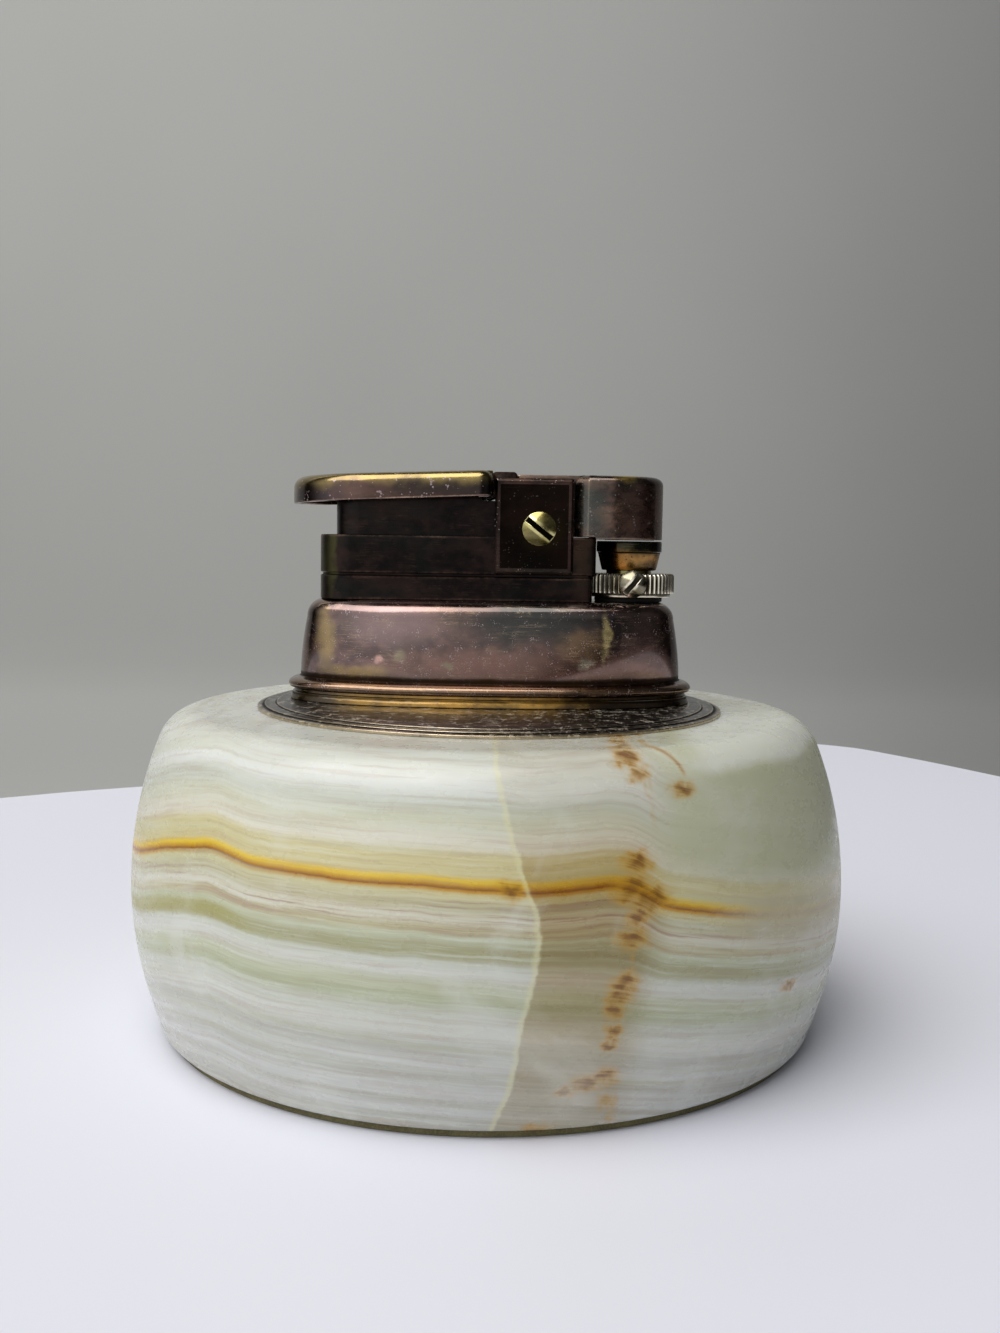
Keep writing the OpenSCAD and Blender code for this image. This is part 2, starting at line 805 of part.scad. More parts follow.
module hinge_pins() {
    color(steel_colour) both_sides() bar_y(hinge_x, hinge_z, hinge_r, plate_y0, frame_y);
}

module flint_tube() {
    color(brass_colour) difference() {
        post(axle_x, 0, flint_tube_r, flint_tube_z, flint_tube_top);
        post(axle_x, 0, flint_bore_r, flint_tube_z - 1, flint_tube_top + 1);
    }
}

module flint() {
    color(steel_colour) post(axle_x, 0, flint_r, flint_top_z - flint_h, flint_top_z);
}

flint_path = coil_path(flint_coil_r, flint_wire, flint_tube_z + flint_rod_h, flint_top_z - flint_h,
    flint_turns);

module flint_spring() {
    echo(str("flint spring, least gap between turns: ", coil_gap(flint_path, flint_wire), " mm"));
    color(steel_colour) translate([axle_x, 0, 0]) coil(flint_path, flint_wire);
}

module flint_screw() {
    color(brass_colour) difference() {
        union() {
            post(axle_x, 0, flint_head_r, flint_tube_z - flint_head_h, flint_tube_z);
            post(axle_x, 0, flint_bore_r - run_gap, flint_tube_z - edge, flint_tube_z + flint_thread_h);
            post(axle_x, 0, flint_rod_r, flint_tube_z + flint_thread_h - edge, flint_tube_z + flint_rod_h);
        }
        translate([axle_x - 2 * flint_head_r, -fix_slot_w / 2, flint_tube_z - flint_head_h - 1])
            cube([4 * flint_head_r, fix_slot_w, 1 + fix_slot_h]);
    }
}

module refill_valve() {
    z = tank_low_z;
    color(brass_colour) translate([refill_x, 0, 0]) rotate_extrude() polygon([
        [refill_stem_r + run_gap, z],
        [refill_flange_r, z],
        [refill_flange_r, z + refill_flange_t],
        [refill_r, z + refill_flange_t],
        [refill_r, refill_top_z],
        [gas_port_r, refill_top_z],
        [gas_port_r, refill_top_z - refill_cap_t],
        [refill_bore_r, refill_top_z - refill_cap_t],
        [refill_bore_r, refill_floor_z],
        [refill_stem_r + run_gap, refill_floor_z]
    ]);
}

module refill_stem() {
    color(steel_colour) translate([refill_x, 0, 0]) {
        post(0, 0, refill_stem_r, tank_low_z - refill_stem_out, refill_floor_z + refill_stem_in);
        post(0, 0, refill_bore_r - run_gap, refill_floor_z, refill_floor_z + refill_stop_t);
    }
}

refill_path = coil_path(refill_coil_r, refill_wire, refill_floor_z + refill_stop_t,
    refill_top_z - refill_cap_t, refill_turns);

module refill_spring() {
    echo(str("refill spring, least gap between turns: ", coil_gap(refill_path, refill_wire), " mm"));
    color(steel_colour) translate([refill_x, 0, 0]) coil(refill_path, refill_wire);
}

module valve_body() {
    color(brass_colour) translate([bx, 0, 0]) rotate_extrude() polygon([
        [gas_port_r, valve_low_z],
        [valve_low_r, valve_low_z],
        [valve_low_r, tank_top_z],
        [valve_r, tank_top_z],
        [valve_r, cup_z],
        [jet_bore_r, cup_z],
        [jet_bore_r, jet_guide_z],
        [jet_r + run_gap, jet_guide_z],
        [jet_r + run_gap, jet_guide_z - jet_well_h],
        [gas_port_r, jet_guide_z - jet_well_h]
    ]);
}

module valve_washer() {
    color(rubber_colour) difference() {
        post(bx, 0, washer_r, collar_top_z, collar_top_z + washer_t);
        post(bx, 0, valve_r, 0, through);
    }
}

module burner_cup() {
    band_z = cup_z + cup_band_up;
    color(brass_colour) translate([bx, 0, 0]) rotate_extrude() polygon([
        [jet_r + run_gap, cup_z],
        [cup_foot_d / 2, cup_z],
        [cup_d / 2 - cup_edge, band_z],
        [cup_d / 2, band_z],
        [cup_d / 2, cup_top_z - cup_edge],
        [cup_d / 2 - cup_edge, cup_top_z],
        [cup_mouth_d / 2, cup_top_z],
        [cup_mouth_d / 2, cup_z + cup_floor_t + cup_dish],
        [cup_mouth_d / 2 - cup_dish, cup_z + cup_floor_t],
        [jet_r + run_gap, cup_z + cup_floor_t]
    ]);
}

module burner_jet() {
    color(nickel_colour) translate([bx, 0, 0]) rotate_extrude() polygon([
        [jet_port_r, jet_guide_z - jet_stem_h],
        [jet_r, jet_guide_z - jet_stem_h],
        [jet_r, jet_collar_z],
        [jet_collar_r, jet_collar_z],
        [jet_collar_r, jet_collar_z + jet_collar_h],
        [jet_r, jet_collar_z + jet_collar_h],
        [jet_r, jet_top_z - jet_tip_h - jet_taper_h],
        [jet_tip_r, jet_top_z - jet_tip_h],
        [jet_tip_r, jet_top_z],
        [jet_port_r, jet_top_z]
    ]);
}

jet_path = coil_path(jet_coil_r, jet_wire, jet_guide_z, jet_collar_z, jet_turns);

module jet_spring() {
    echo(str("jet spring, least gap between turns: ", coil_gap(jet_path, jet_wire), " mm"));
    color(steel_colour) translate([bx, 0, 0]) coil(jet_path, jet_wire);
}

module adjusting_ring() {
    flute = 360 / flutes;
    band = [
        for (i = [0 : flutes - 1])
            for (q = [[-0.34, flute_d * 0.75], [-0.12, 0], [0.12, 0], [0.34, flute_d * 0.75], [0.5, flute_d]])
                let (a = (i + q[0]) * flute, r = ring_r - q[1])
                [r * cos(a), r * sin(a)]
    ];
    band_z = ring_z + ring_foot_h;
    color(nickel_colour) translate([bx, 0, 0]) difference() {
        union() {
            post(0, 0, ring_r - ring_foot_in, ring_z, band_z + edge);
            intersection() {
                translate([0, 0, band_z]) linear_extrude(ring_h) polygon(band);
                rotate_extrude() polygon([
                    [0, band_z - 1],
                    [ring_r + ring_edge / 3, band_z - 1],
                    [ring_r + ring_edge / 3, ring_top_z - ring_edge],
                    [ring_r - ring_edge, ring_top_z + ring_edge / 6],
                    [0, ring_top_z + ring_edge / 6]
                ]);
            }
        }
        post(0, 0, valve_r + run_gap, ring_z - 1, ring_top_z + 1);
        translate([0, 0, ring_screw_z]) bar_y(0, 0, ring_shank_r, -through, 0);
    }
}

module ring_screw() {
    color(brass_colour) translate([bx, 0, ring_screw_z]) {
        bar_y(0, 0, ring_shank_r, -ring_r - edge, -valve_r - 2 * seat_gap);
        translate([0, -ring_r, 0]) slotted_head(ring_head_r, ring_head_h, ring_slot_turn);
    }
}

lever_path = coil_path(lever_coil_r, lever_wire, pocket_z, pad_roof_z - lever_t, lever_turns);

module lever_spring() {
    echo(str("lever spring, least gap between turns: ", coil_gap(lever_path, lever_wire), " mm"));
    color(steel_colour) translate([spring_x, 0, 0]) coil(lever_path, lever_wire);
}

module thumb_pad() {
    low = pad_plan(0);
    color(copper_colour) difference() {
        loft(concat(
            [[for (p = low) [p[0], p[1], pad_low(p[0])]]],
            [for (a = [0 : 15 : 90])
                [for (p = pad_plan(pad_edge_r * (1 - cos(a))))
                    [p[0], p[1], pad_high(p[0]) - pad_edge_r * (1 - sin(a))]]]
        ));
        translate([0, 0, pad_roof_z - through]) linear_extrude(through) polygon(pad_plan(pad_t));
        translate([pad_x1 - notch_l, -notch_y, 0]) cube([2 * notch_l, 2 * notch_y, through]);
    }
}

module thumb_lever() {
    color(copper_colour) {
        difference() {
            lever_box(0, pad_roof_z);
            translate([0, 0, -edge]) lever_box(lever_t, pad_roof_z - lever_t + edge);
            for (x = pad_screw_places) post(x, 0, pad_screw_r, 0, through);
        }
        both_sides() lever_arm();
        both_sides() plate_xz(lever_y - lever_t, lever_y) polygon([
            [lever_x1 - lever_t, lever_z0],
            [cheek_x0 + skirt_reach, lever_z0],
            [cheek_x0 + skirt_reach, skirt_z],
            [drive_x - 1, skirt_z],
            [drive_x - 1, pad_roof_z],
            [lever_x1 - lever_t, pad_roof_z]
        ]);
    }
}

// Closed block of the channel's outline drawn in by d, up to a height
module lever_box(d, top) {
    r = lever_end_r;
    y = lever_y - d;
    x0 = lever_x0 + d;
    translate([0, 0, lever_z0]) linear_extrude(top - lever_z0) union() {
        translate([x0 + r - d, -y]) square([lever_x1 - d - x0 - r + d, 2 * y]);
        translate([x0, -y + r - d]) square([r, 2 * (y - r + d)]);
        for (s = [-1, 1]) translate([x0 + r - d, s * (y - r + d)]) circle(r - d);
    }
}

// Fork arm: carries the lever on the axle and holds the finger over the hood's drive pin
module lever_arm() {
    low = axle_z - boss_r + 0.2;
    plate_xz(arm_y0, arm_y1) difference() {
        union() {
            translate([axle_x, axle_z]) circle(boss_r);
            polygon([
                [lever_x1 - 0.4, low],
                [axle_x, low],
                [axle_x, axle_z + boss_r - 0.2],
                [axle_x - 2.6, axle_z + boss_r - 0.2],
                [lever_x1 - 0.4, axle_z + 1.4]
            ]);
            polygon([
                [lever_x1 - 0.4, finger_z - 1.4],
                [lever_x1 + 0.15, finger_z - 1.2],
                [drive_x - 0.9, finger_z],
                [hinge_x + 0.7, finger_z],
                [hinge_x + 0.9, finger_z + finger_t * 0.6],
                [hinge_x + 0.3, finger_z + finger_t],
                [pad_x1 - notch_l + 0.1, finger_z + finger_t],
                [pad_x1 - notch_l + 0.1, pad_roof_z],
                [lever_x1 - 0.4, pad_roof_z]
            ]);
        }
        translate([axle_x, axle_z]) circle(axle_r + run_gap);
    }
}

module pad_screws() {
    color(steel_colour) for (x = pad_screw_places) {
        post(x, 0, pad_screw_head_r, pad_roof_z - lever_t - pad_screw_head_h, pad_roof_z - lever_t);
        post(x, 0, pad_screw_r, pad_roof_z - lever_t - edge, pad_roof_z);
    }
}

module pawl() {
    pitch = 360 / ratchet_teeth;
    at = 180 + pitch / 2;
    shape = [[0.24, 2], [0.48, 8], [0.78, 14], [1.3, 14], [1.3, 2]];
    color(steel_colour) plate_xz(ratchet_y0 + 0.1, arm_y0)
        polygon([for (p = shape)
            let (r = ratchet_root + p[0])
            [axle_x + r * cos(at - p[1]), axle_z + r * sin(at - p[1])]]);
}

module hood() {
    rim = hood_plan(0);
    color(copper_colour) difference() {
        union() {
            loft(concat(
                [[for (p = rim) [p[0], p[1], hood_z0]]],
                [for (a = [0 : 15 : 90])
                    [for (p = hood_plan(hood_edge_r * (1 - cos(a))))
                        [p[0], p[1], hood_z1 - hood_edge_r * (1 - sin(a))]]]
            ));
            translate([neck_x0, -neck_y, hood_roof_z])
                cube([hood_x0 + 3 - neck_x0, 2 * neck_y, hood_z1 - hood_roof_z]);
        }
        translate([0, 0, hood_roof_z - through]) linear_extrude(through) polygon(hood_plan(hood_t));
        translate([hood_x0 - 1, -neck_y, hood_roof_z - through]) cube([hood_t + 2, 2 * neck_y, through]);
        translate([hood_x0 - 1, -hood_y - 1, hood_z0 - 1])
            cube([frame_x1 + 0.3 - hood_x0 + 1, hood_w + 2, hood_clear_z - hood_z0 + 1]);
    }
}

// Stamped yoke inside the hood: two side plates with hinge eyes, tails and drive pins
module hood_arms() {
    color(copper_colour) {
        both_sides() plate_xz(plate_y0, plate_y1) difference() {
            union() {
                translate([hinge_x, hinge_z]) circle(eye_r);
                polygon([
                    [hinge_x, hinge_z - eye_r],
                    [hood_x0 + arm_reach, hinge_z - arm_drop],
                    [hood_x0 + arm_reach, hood_roof_z],
                    [hinge_x + 1, hood_roof_z],
                    [hinge_x, hinge_z + eye_r]
                ]);
                hull() {
                    translate([hinge_x, hinge_z]) circle(0.9, $fn = 32);
                    translate([drive_x, drive_z]) circle(0.7, $fn = 32);
                }
            }
            translate([hinge_x, hinge_z]) circle(hinge_r + run_gap);
        }
        both_sides() bar_y(drive_x, drive_z, drive_r, arm_y0, plate_y0 + edge);
        translate([hood_x0 + bridge_x, -plate_y1, hood_roof_z - bridge_t])
            cube([bridge_l, 2 * plate_y1, bridge_t]);
    }
}

module seal_holder() {
    color(brass_colour) {
        post(bx, 0, seal_r, seal_z + seal_t, seal_z + seal_t + holder_t);
        post(bx, 0, holder_post_r, seal_z + seal_t + holder_t - edge, hood_roof_z);
    }
}

module hood_seal() {
    color(rubber_colour) post(bx, 0, seal_r, seal_z, seal_z + seal_t);
}

module spark_wheel() {
    step = 360 / wheel_teeth;
    color(steel_colour) plate_xz(-wheel_y, wheel_y) difference() {
        polygon([
            for (i = [0 : wheel_teeth - 1])
                for (q = [[0, 0], [0.5, tooth_d]])
                    let (a = (i + q[0]) * step - 90, r = wheel_r - q[1])
                    [axle_x + r * cos(a), axle_z + r * sin(a)]
        ]);
        translate([axle_x, axle_z]) circle(axle_r + run_gap);
    }
}

module ratchet_wheel() {
    step = 360 / ratchet_teeth;
    color(steel_colour) plate_xz(ratchet_y0, ratchet_y1) difference() {
        polygon([
            for (i = [0 : ratchet_teeth - 1])
                for (r = [ratchet_root, ratchet_r])
                    let (a = (i + 0.5) * step)
                    [axle_x + r * cos(a), axle_z + r * sin(a)]
        ]);
        translate([axle_x, axle_z]) circle(axle_r + run_gap);
    }
}

module wheel_spacer() {
    color(steel_colour) difference() {
        bar_y(axle_x, axle_z, wheel_spacer_r, -ratchet_y1, -ratchet_y0);
        bar_y(axle_x, axle_z, axle_r + run_gap, -through, through);
    }
}

stone_base();
felt_pad();
bore_liner();
flange_plate();
seat_ring();
collar();
tank_shell();
tank_base();
tank_top();
grip_ring();
tie_posts();
frame_plate();
frame_block();
frame_screws();
front_cheek();
rear_cheek();
axle_screw();
axle_spacers();
hinge_pins();
flint_tube();
flint();
flint_spring();
flint_screw();
refill_valve();
refill_spring();
valve_body();
valve_washer();
burner_cup();
jet_spring();
lever_spring();
thumb_pad();
thumb_lever();
pad_screws();
pawl();
hood();
hood_arms();
seal_holder();
hood_seal();
spark_wheel();
ratchet_wheel();
wheel_spacer();
burner_jet();
adjusting_ring();
ring_screw();
refill_stem();
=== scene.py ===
"""Looks of a table lighter: banded onyx body, aged copper movement, slotted brass screws.

Sizes are millimetres in this file and metres in the meshes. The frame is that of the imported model: origin
under the middle of the felt, +Z up, +X to the burner, and the camera looks along +Y.
"""

import logging
import math
from dataclasses import dataclass, field
from enum import Enum
from typing import Callable, Iterable, Optional, Sequence, Union

import bmesh
import bpy
import numpy as np
from mathutils import Euler, Matrix, Vector


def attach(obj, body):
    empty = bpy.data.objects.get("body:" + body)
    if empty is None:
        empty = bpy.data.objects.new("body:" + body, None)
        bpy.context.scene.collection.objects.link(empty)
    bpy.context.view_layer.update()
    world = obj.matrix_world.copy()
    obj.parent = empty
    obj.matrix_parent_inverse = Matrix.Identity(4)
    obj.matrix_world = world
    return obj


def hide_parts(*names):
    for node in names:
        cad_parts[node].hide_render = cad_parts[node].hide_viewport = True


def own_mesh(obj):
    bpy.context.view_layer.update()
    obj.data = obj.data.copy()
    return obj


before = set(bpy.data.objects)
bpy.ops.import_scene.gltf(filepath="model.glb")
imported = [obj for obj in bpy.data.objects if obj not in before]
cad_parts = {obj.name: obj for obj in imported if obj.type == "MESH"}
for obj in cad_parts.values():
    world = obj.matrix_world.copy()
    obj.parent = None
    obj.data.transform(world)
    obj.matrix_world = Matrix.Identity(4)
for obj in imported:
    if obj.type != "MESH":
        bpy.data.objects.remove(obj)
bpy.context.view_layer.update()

MM = 0.001
LOG = logging.getLogger("lighter")

Array = np.ndarray
Radii = Callable[[Array, Array, Array], Array]
Socket = bpy.types.NodeSocket
Value = Union[float, tuple, Socket]


# ---------------------------------------------------------------- shapes

def rounded(corners: Sequence[tuple], radii: Union[float, Sequence[float]], steps: int = 5,
            closed: bool = True) -> Array:
    """Polyline with each corner replaced by an arc that touches both of its sides.

    At a corner c with unit directions a and b to its neighbours and half-angle h between them, the arc runs
    from c + a r / tan h to c + b r / tan h, round a centre r / sin h along the bisector.

    Args:
        corners: corner points (u, v) in order.
        radii: one radius for all corners, or one for each.
        steps: faces in each arc.
        closed: whether the last corner joins the first; an open line keeps its two ends.

    Returns:
        The points of the line, one row each.
    """
    c = np.asarray(corners, float)
    n = len(c)
    r = np.broadcast_to(np.asarray(radii, float), n)
    line: list[Array] = []
    for k in range(n):
        if r[k] < 1e-6 or (not closed and k in (0, n - 1)):
            line.append(c[k][None])
            continue
        a = c[k - 1] - c[k]
        b = c[(k + 1) % n] - c[k]
        a, b = a / np.linalg.norm(a), b / np.linalg.norm(b)
        half = math.acos(float(np.clip(a @ b, -1, 1))) / 2
        if half > math.pi / 2 - 1e-3:
            line.append(c[k][None])
            continue
        centre = c[k] + (a + b) / np.linalg.norm(a + b) * r[k] / math.sin(half)
        start = c[k] + a * r[k] / math.tan(half) - centre
        sweep = math.pi - 2 * half
        turn = -math.copysign(sweep, a[0] * b[1] - a[1] * b[0])
        t = turn * np.linspace(0, 1, steps + 1)[:, None]
        line.append(centre + start * np.cos(t) + np.array([-start[1], start[0]]) * np.sin(t))
    return np.concatenate(line)


def arc(cx: float, cy: float, r: float, a0: float, a1: float, steps: int) -> Array:
    """Points c + r (cos a, sin a) for the angle a from a0 to a1, in degrees."""
    a = np.radians(np.linspace(a0, a1, steps + 1))
    return np.stack([cx + r * np.cos(a), cy + r * np.sin(a)], 1)


def flowing(points: Sequence[tuple], steps: int) -> Array:
    """Smooth open line through the points.

    Each span is the cubic with end slopes (p[k+1] - p[k-1]) / 2, evaluated at `steps` even parameters.

    Args:
        points: points (u, v) that the line passes through.
        steps: faces in each span.

    Returns:
        The points of the line, one row each.
    """
    p = np.asarray(points, float)
    q = np.concatenate([[2 * p[0] - p[1]], p, [2 * p[-1] - p[-2]]])
    t = (np.arange(steps) / steps)[None, :, None]
    a, b, c, d = (q[k:len(q) - 3 + k, None, :] for k in range(4))
    line = 0.5 * (2 * b + (c - a) * t + (2 * a - 5 * b + 4 * c - d) * t ** 2
                  + (3 * b - 3 * c + d - a) * t ** 3)
    return np.concatenate([line.reshape(-1, p.shape[1]), p[-1:]])


def drawn_in(outline: Array, d: float, weight: Union[float, Array] = 1.0) -> Array:
    """Closed outline moved inwards by d.

    A point between sides with inward unit normals m and n moves by d (m + n) / (1 + m . n).

    Args:
        outline: points (u, v), counter-clockwise.
        d: distance inwards.
        weight: share of d for each point.

    Returns:
        The moved points.
    """
    e = np.roll(outline, -1, 0) - outline
    n = np.stack([-e[:, 1], e[:, 0]], 1) / np.maximum(np.linalg.norm(e, axis=1), 1e-9)[:, None]
    m = np.roll(n, 1, 0)
    share = (m + n) / np.maximum(1 + (m * n).sum(1), 0.2)[:, None]
    return outline + share * d * np.broadcast_to(np.asarray(weight, float), len(outline))[:, None]


def held(line: Sequence[tuple], reach: float = 0.25, closed: bool = True) -> Array:
    """Polyline with two points added near both ends of each long side, so that a corner's wear stays near it.

    On the side from p to q they are p + r s, p + 2 r s, q - 2 r s and q - r s, with s its unit direction.

    Args:
        line: points (u, v) in order.
        reach: distance r.
        closed: whether the last point joins the first.

    Returns:
        The longer list of points.
    """
    p = np.asarray(line, float)
    step = np.roll(p, -1, 0) - p
    size = np.linalg.norm(step, axis=1)
    share = reach / np.maximum(size, 1e-9)
    spots = p[:, None] + step[:, None] * np.stack([0 * share, share, 2 * share, 1 - 2 * share, 1 - share],
                                                  1)[..., None]
    keep = np.stack([size >= 0] + [size > 5 * reach] * 4, 1)
    if not closed:
        keep[-1, 1:] = False
    return spots[keep]


def oval(a: float, b: float, power: float, count: int = 192) -> Array:
    """Superellipse x = a |cos t|^(2/power), y = b |sin t|^(2/power), with the signs of cos t and sin t.

    The angles t are even steps plus 0.12 sin 4t, which gathers the points at the round parts.

    Args:
        a: half of its length along x.
        b: half of its width along y.
        power: 2 for an ellipse, and more for a squarer form.
        count: number of points.

    Returns:
        The points of the line, one row each.
    """
    t = np.linspace(0, 2 * math.pi, count, endpoint=False)
    t = t + 0.12 * np.sin(4 * t)
    c, s = np.cos(t), np.sin(t)
    return np.stack([a * np.sign(c) * np.abs(c) ** (2 / power), b * np.sign(s) * np.abs(s) ** (2 / power)], 1)


class Plane(Enum):
    """Where an outline (u, v) and a height w lie in space."""

    FLOOR = (0, 1, 2)
    FRONT = (0, 2, 1)

    def stacked(self, u: Array, v: Array, w: Union[float, Array]) -> Array:
        """Points in space with the outline coordinates u and v and the height w."""
        flat = np.broadcast_arrays(u, v, w)
        return np.stack([flat[self.value.index(k)] for k in range(3)], -1)


@dataclass
class Surface:
    """Points in millimetres and the faces between them, gathered patch by patch."""

    points: list = field(default_factory=list)
    quads: list = field(default_factory=list)
    caps: list = field(default_factory=list)
    count: int = 0

    def grid(self, p: Array, round_i: bool = True, round_j: bool = False, cap_start: bool = False,
             cap_end: bool = False) -> "Surface":
        """Adds the faces (i, j), (i+1, j), (i+1, j+1), (i, j+1) of a grid of points.

        Args:
            p: points, shape (n, m, 3); i runs along an outline and j along a profile.
            round_i: whether the last i joins the first.
            round_j: whether the last j joins the first.
            cap_start: whether one face closes the outline at the first j.
            cap_end: whether one face closes the outline at the last j.

        Returns:
            This surface, so that patches can be added in a row.
        """
        n, m = p.shape[:2]
        index = self.count + np.arange(n * m).reshape(n, m)
        across, along = np.arange(n if round_i else n - 1), np.arange(m if round_j else m - 1)
        i, j = np.meshgrid(across, along, indexing="ij")
        k, q = (i + 1) % n, (j + 1) % m
        self.points.append(p.reshape(-1, 3))
        self.quads.append(np.stack([index[i, j], index[k, j], index[k, q], index[i, q]], -1).reshape(-1, 4))
        if cap_start:
            self.caps.append(index[::-1, 0])
        if cap_end:
            self.caps.append(index[:, -1])
        self.count += n * m
        return self

    def turned(self, profile: Array, centre: tuple = (0.0, 0.0), sides: int = 96, plane: Plane = Plane.FLOOR,
               hollow: bool = False, depth: Optional[Radii] = None) -> "Surface":
        """Adds a turned form: (r cos a, r sin a, h) for each profile point (r, h) and angle a.

        Args:
            profile: points (r, h); from axis to axis, or a closed loop if hollow.
            centre: place of the axis in the plane.
            sides: faces round the axis.
            plane: FLOOR for an upright axis, FRONT for one along Y.
            hollow: whether the profile is a closed loop.
            depth: change of radius as a function of the angle, the radius and the height, as arrays.

        Returns:
            This surface.
        """
        profile = held(profile, closed=hollow)
        a = np.linspace(0, 2 * math.pi, sides, endpoint=False)[:, None]
        r, h = profile[None, :, 0], profile[None, :, 1]
        r = r + (depth(a, r, h) if depth else 0)
        return self.grid(plane.stacked(centre[0] + r * np.cos(a), centre[1] + r * np.sin(a), h), round_j=hollow)

    def carried(self, outline: Array, rows: Iterable[tuple], plane: Plane = Plane.FLOOR,
                weight: Union[float, Array] = 1.0, level: Optional[Array] = None,
                rings: bool = True) -> "Surface":
        """Adds a profile carried round an outline: row j is the outline drawn in by d[j] at height h[j].

        One face closes each end. With rings, an end gets two rows more, shrunk about its middle by 0.3 and
        0.6 mm.

        Args:
            outline: points (u, v), counter-clockwise.
            rows: pairs (d, h); h is a height or a function of the drawn-in points.
            plane: where the outline lies.
            weight: share of each d for each point.
            level: mask of the points of a notch, which shrink along u only.
            rings: whether the ends get their rings.

        Returns:
            This surface.
        """
        lines = [(drawn_in(outline, d, weight), h) for d, h in rows]
        for end in (0, 1) if rings else ():
            p, h = lines[-end]
            way = p - (p.min(0) + p.max(0)) / 2
            size = float(np.linalg.norm(way, axis=1).mean())
            if level is not None:
                way[level, 1] = 0
            more = [(p - way * k * 0.3 / size, h) for k in (1, 2)]
            lines = lines + more if end else more[::-1] + lines
        grid = [plane.stacked(p[:, 0], p[:, 1], h(p) if callable(h) else h) for p, h in lines]
        return self.grid(np.stack(grid, 1), cap_start=True, cap_end=True)

    def slab(self, outline: Array, w0: float, w1: float, bevel: float, plane: Plane = Plane.FLOOR,
             rings: bool = True) -> "Surface":
        """Adds a flat plate between two heights, with its edges broken by a bevel in two facets.

        With b the bevel, the facets meet where the plate is 0.32 b narrower and 0.32 b off its face.

        Args:
            outline: points (u, v), counter-clockwise.
            w0: height of the first face.
            w1: height of the second face.
            bevel: width of the bevel, which is kept to a third of the plate.
            plane: where the outline lies.
            rings: whether the faces get their rings.

        Returns:
            This surface.
        """
        facet = 0.32
        b = min(bevel, abs(w1 - w0) / 3) * math.copysign(1, w1 - w0)
        wide, soft = abs(b), abs(b) * facet
        rows = [(wide, w0), (soft, w0 + b * facet), (0, w0 + b),
                (0, w1 - b), (soft, w1 - b * facet), (wide, w1)]
        return self.carried(held(outline), rows, plane, rings=rings)

    def piece(self, name: str, sharp: float = 34.0) -> bpy.types.Object:
        """Makes the gathered patches one object at the origin.

        Doubles are merged, the faces are turned outwards, and each point gets its `edge_wear` and `hollow`.

        Args:
            name: name of the piece.
            sharp: angle in degrees beyond which an edge stays crisp.

        Returns:
            The new object.
        """
        mesh = bpy.data.meshes.new(name)
        faces = np.concatenate(self.quads).tolist() + [cap.tolist() for cap in self.caps]
        mesh.from_pydata((np.concatenate(self.points) * MM).tolist(), [], faces)
        work = bmesh.new()
        work.from_mesh(mesh)
        bmesh.ops.remove_doubles(work, verts=work.verts, dist=2e-7)
        bmesh.ops.dissolve_degenerate(work, edges=work.edges, dist=1e-7)
        bmesh.ops.recalc_face_normals(work, faces=work.faces)
        open_edges = sum(not edge.is_manifold for edge in work.edges)
        work.to_mesh(mesh)
        work.free()
        mark_wear(mesh)
        mesh.shade_smooth()
        mesh.set_sharp_from_angle(angle=math.radians(sharp))
        obj = bpy.data.objects.new(name, mesh)
        bpy.context.scene.collection.objects.link(obj)
        LOG.info("%s: %d faces, %d open edges", name, len(mesh.polygons), open_edges)
        return obj


def mark_wear(mesh: bpy.types.Mesh, reach: float = 1.25) -> None:
    """Stores how exposed and how hollow each point is, as the attributes `edge_wear` and `hollow`, 0 to 1.

    Along an edge of the mesh the outward curvature is k = (n_j - n_i) . (p_j - p_i) / |p_j - p_i|^2. With K the
    greatest and L the least k at a point, its wear is 1 - exp(-reach K) and its hollow 1 - exp(reach L).

    Args:
        mesh: the mesh.
        reach: radius in millimetres at which wear is 0.63.
    """
    count, edges = len(mesh.vertices), len(mesh.edges)
    p = np.empty(count * 3)
    mesh.vertices.foreach_get("co", p)
    n = np.empty(count * 3)
    mesh.vertices.foreach_get("normal", n)
    e = np.empty(edges * 2, int)
    mesh.edges.foreach_get("vertices", e)
    p, n, e = p.reshape(-1, 3) / MM, n.reshape(-1, 3), e.reshape(-1, 2)
    step = p[e[:, 1]] - p[e[:, 0]]
    bend = ((n[e[:, 1]] - n[e[:, 0]]) * step).sum(1) / np.maximum((step ** 2).sum(1), 1e-6)
    for name, sign in (("edge_wear", 1), ("hollow", -1)):
        most = np.zeros(count)
        for end in (0, 1):
            np.maximum.at(most, e[:, end], sign * bend)
        level = (1 - np.exp(-reach * most)).astype(np.float32)
        mesh.attributes.new(name, "FLOAT", "POINT").data.foreach_set("value", level)


# ---------------------------------------------------------------- finishes

def paint(code: str) -> tuple:
    """Linear colour of a hex code such as d9c7a0: c / 12.92 below 0.04045, else ((c + 0.055) / 1.055)^2.4."""
    c = [int(code[k:k + 2], 16) / 255 for k in (0, 2, 4)]
    return tuple(v / 12.92 if v <= 0.04045 else ((v + 0.055) / 1.055) ** 2.4 for v in c) + (1.0,)


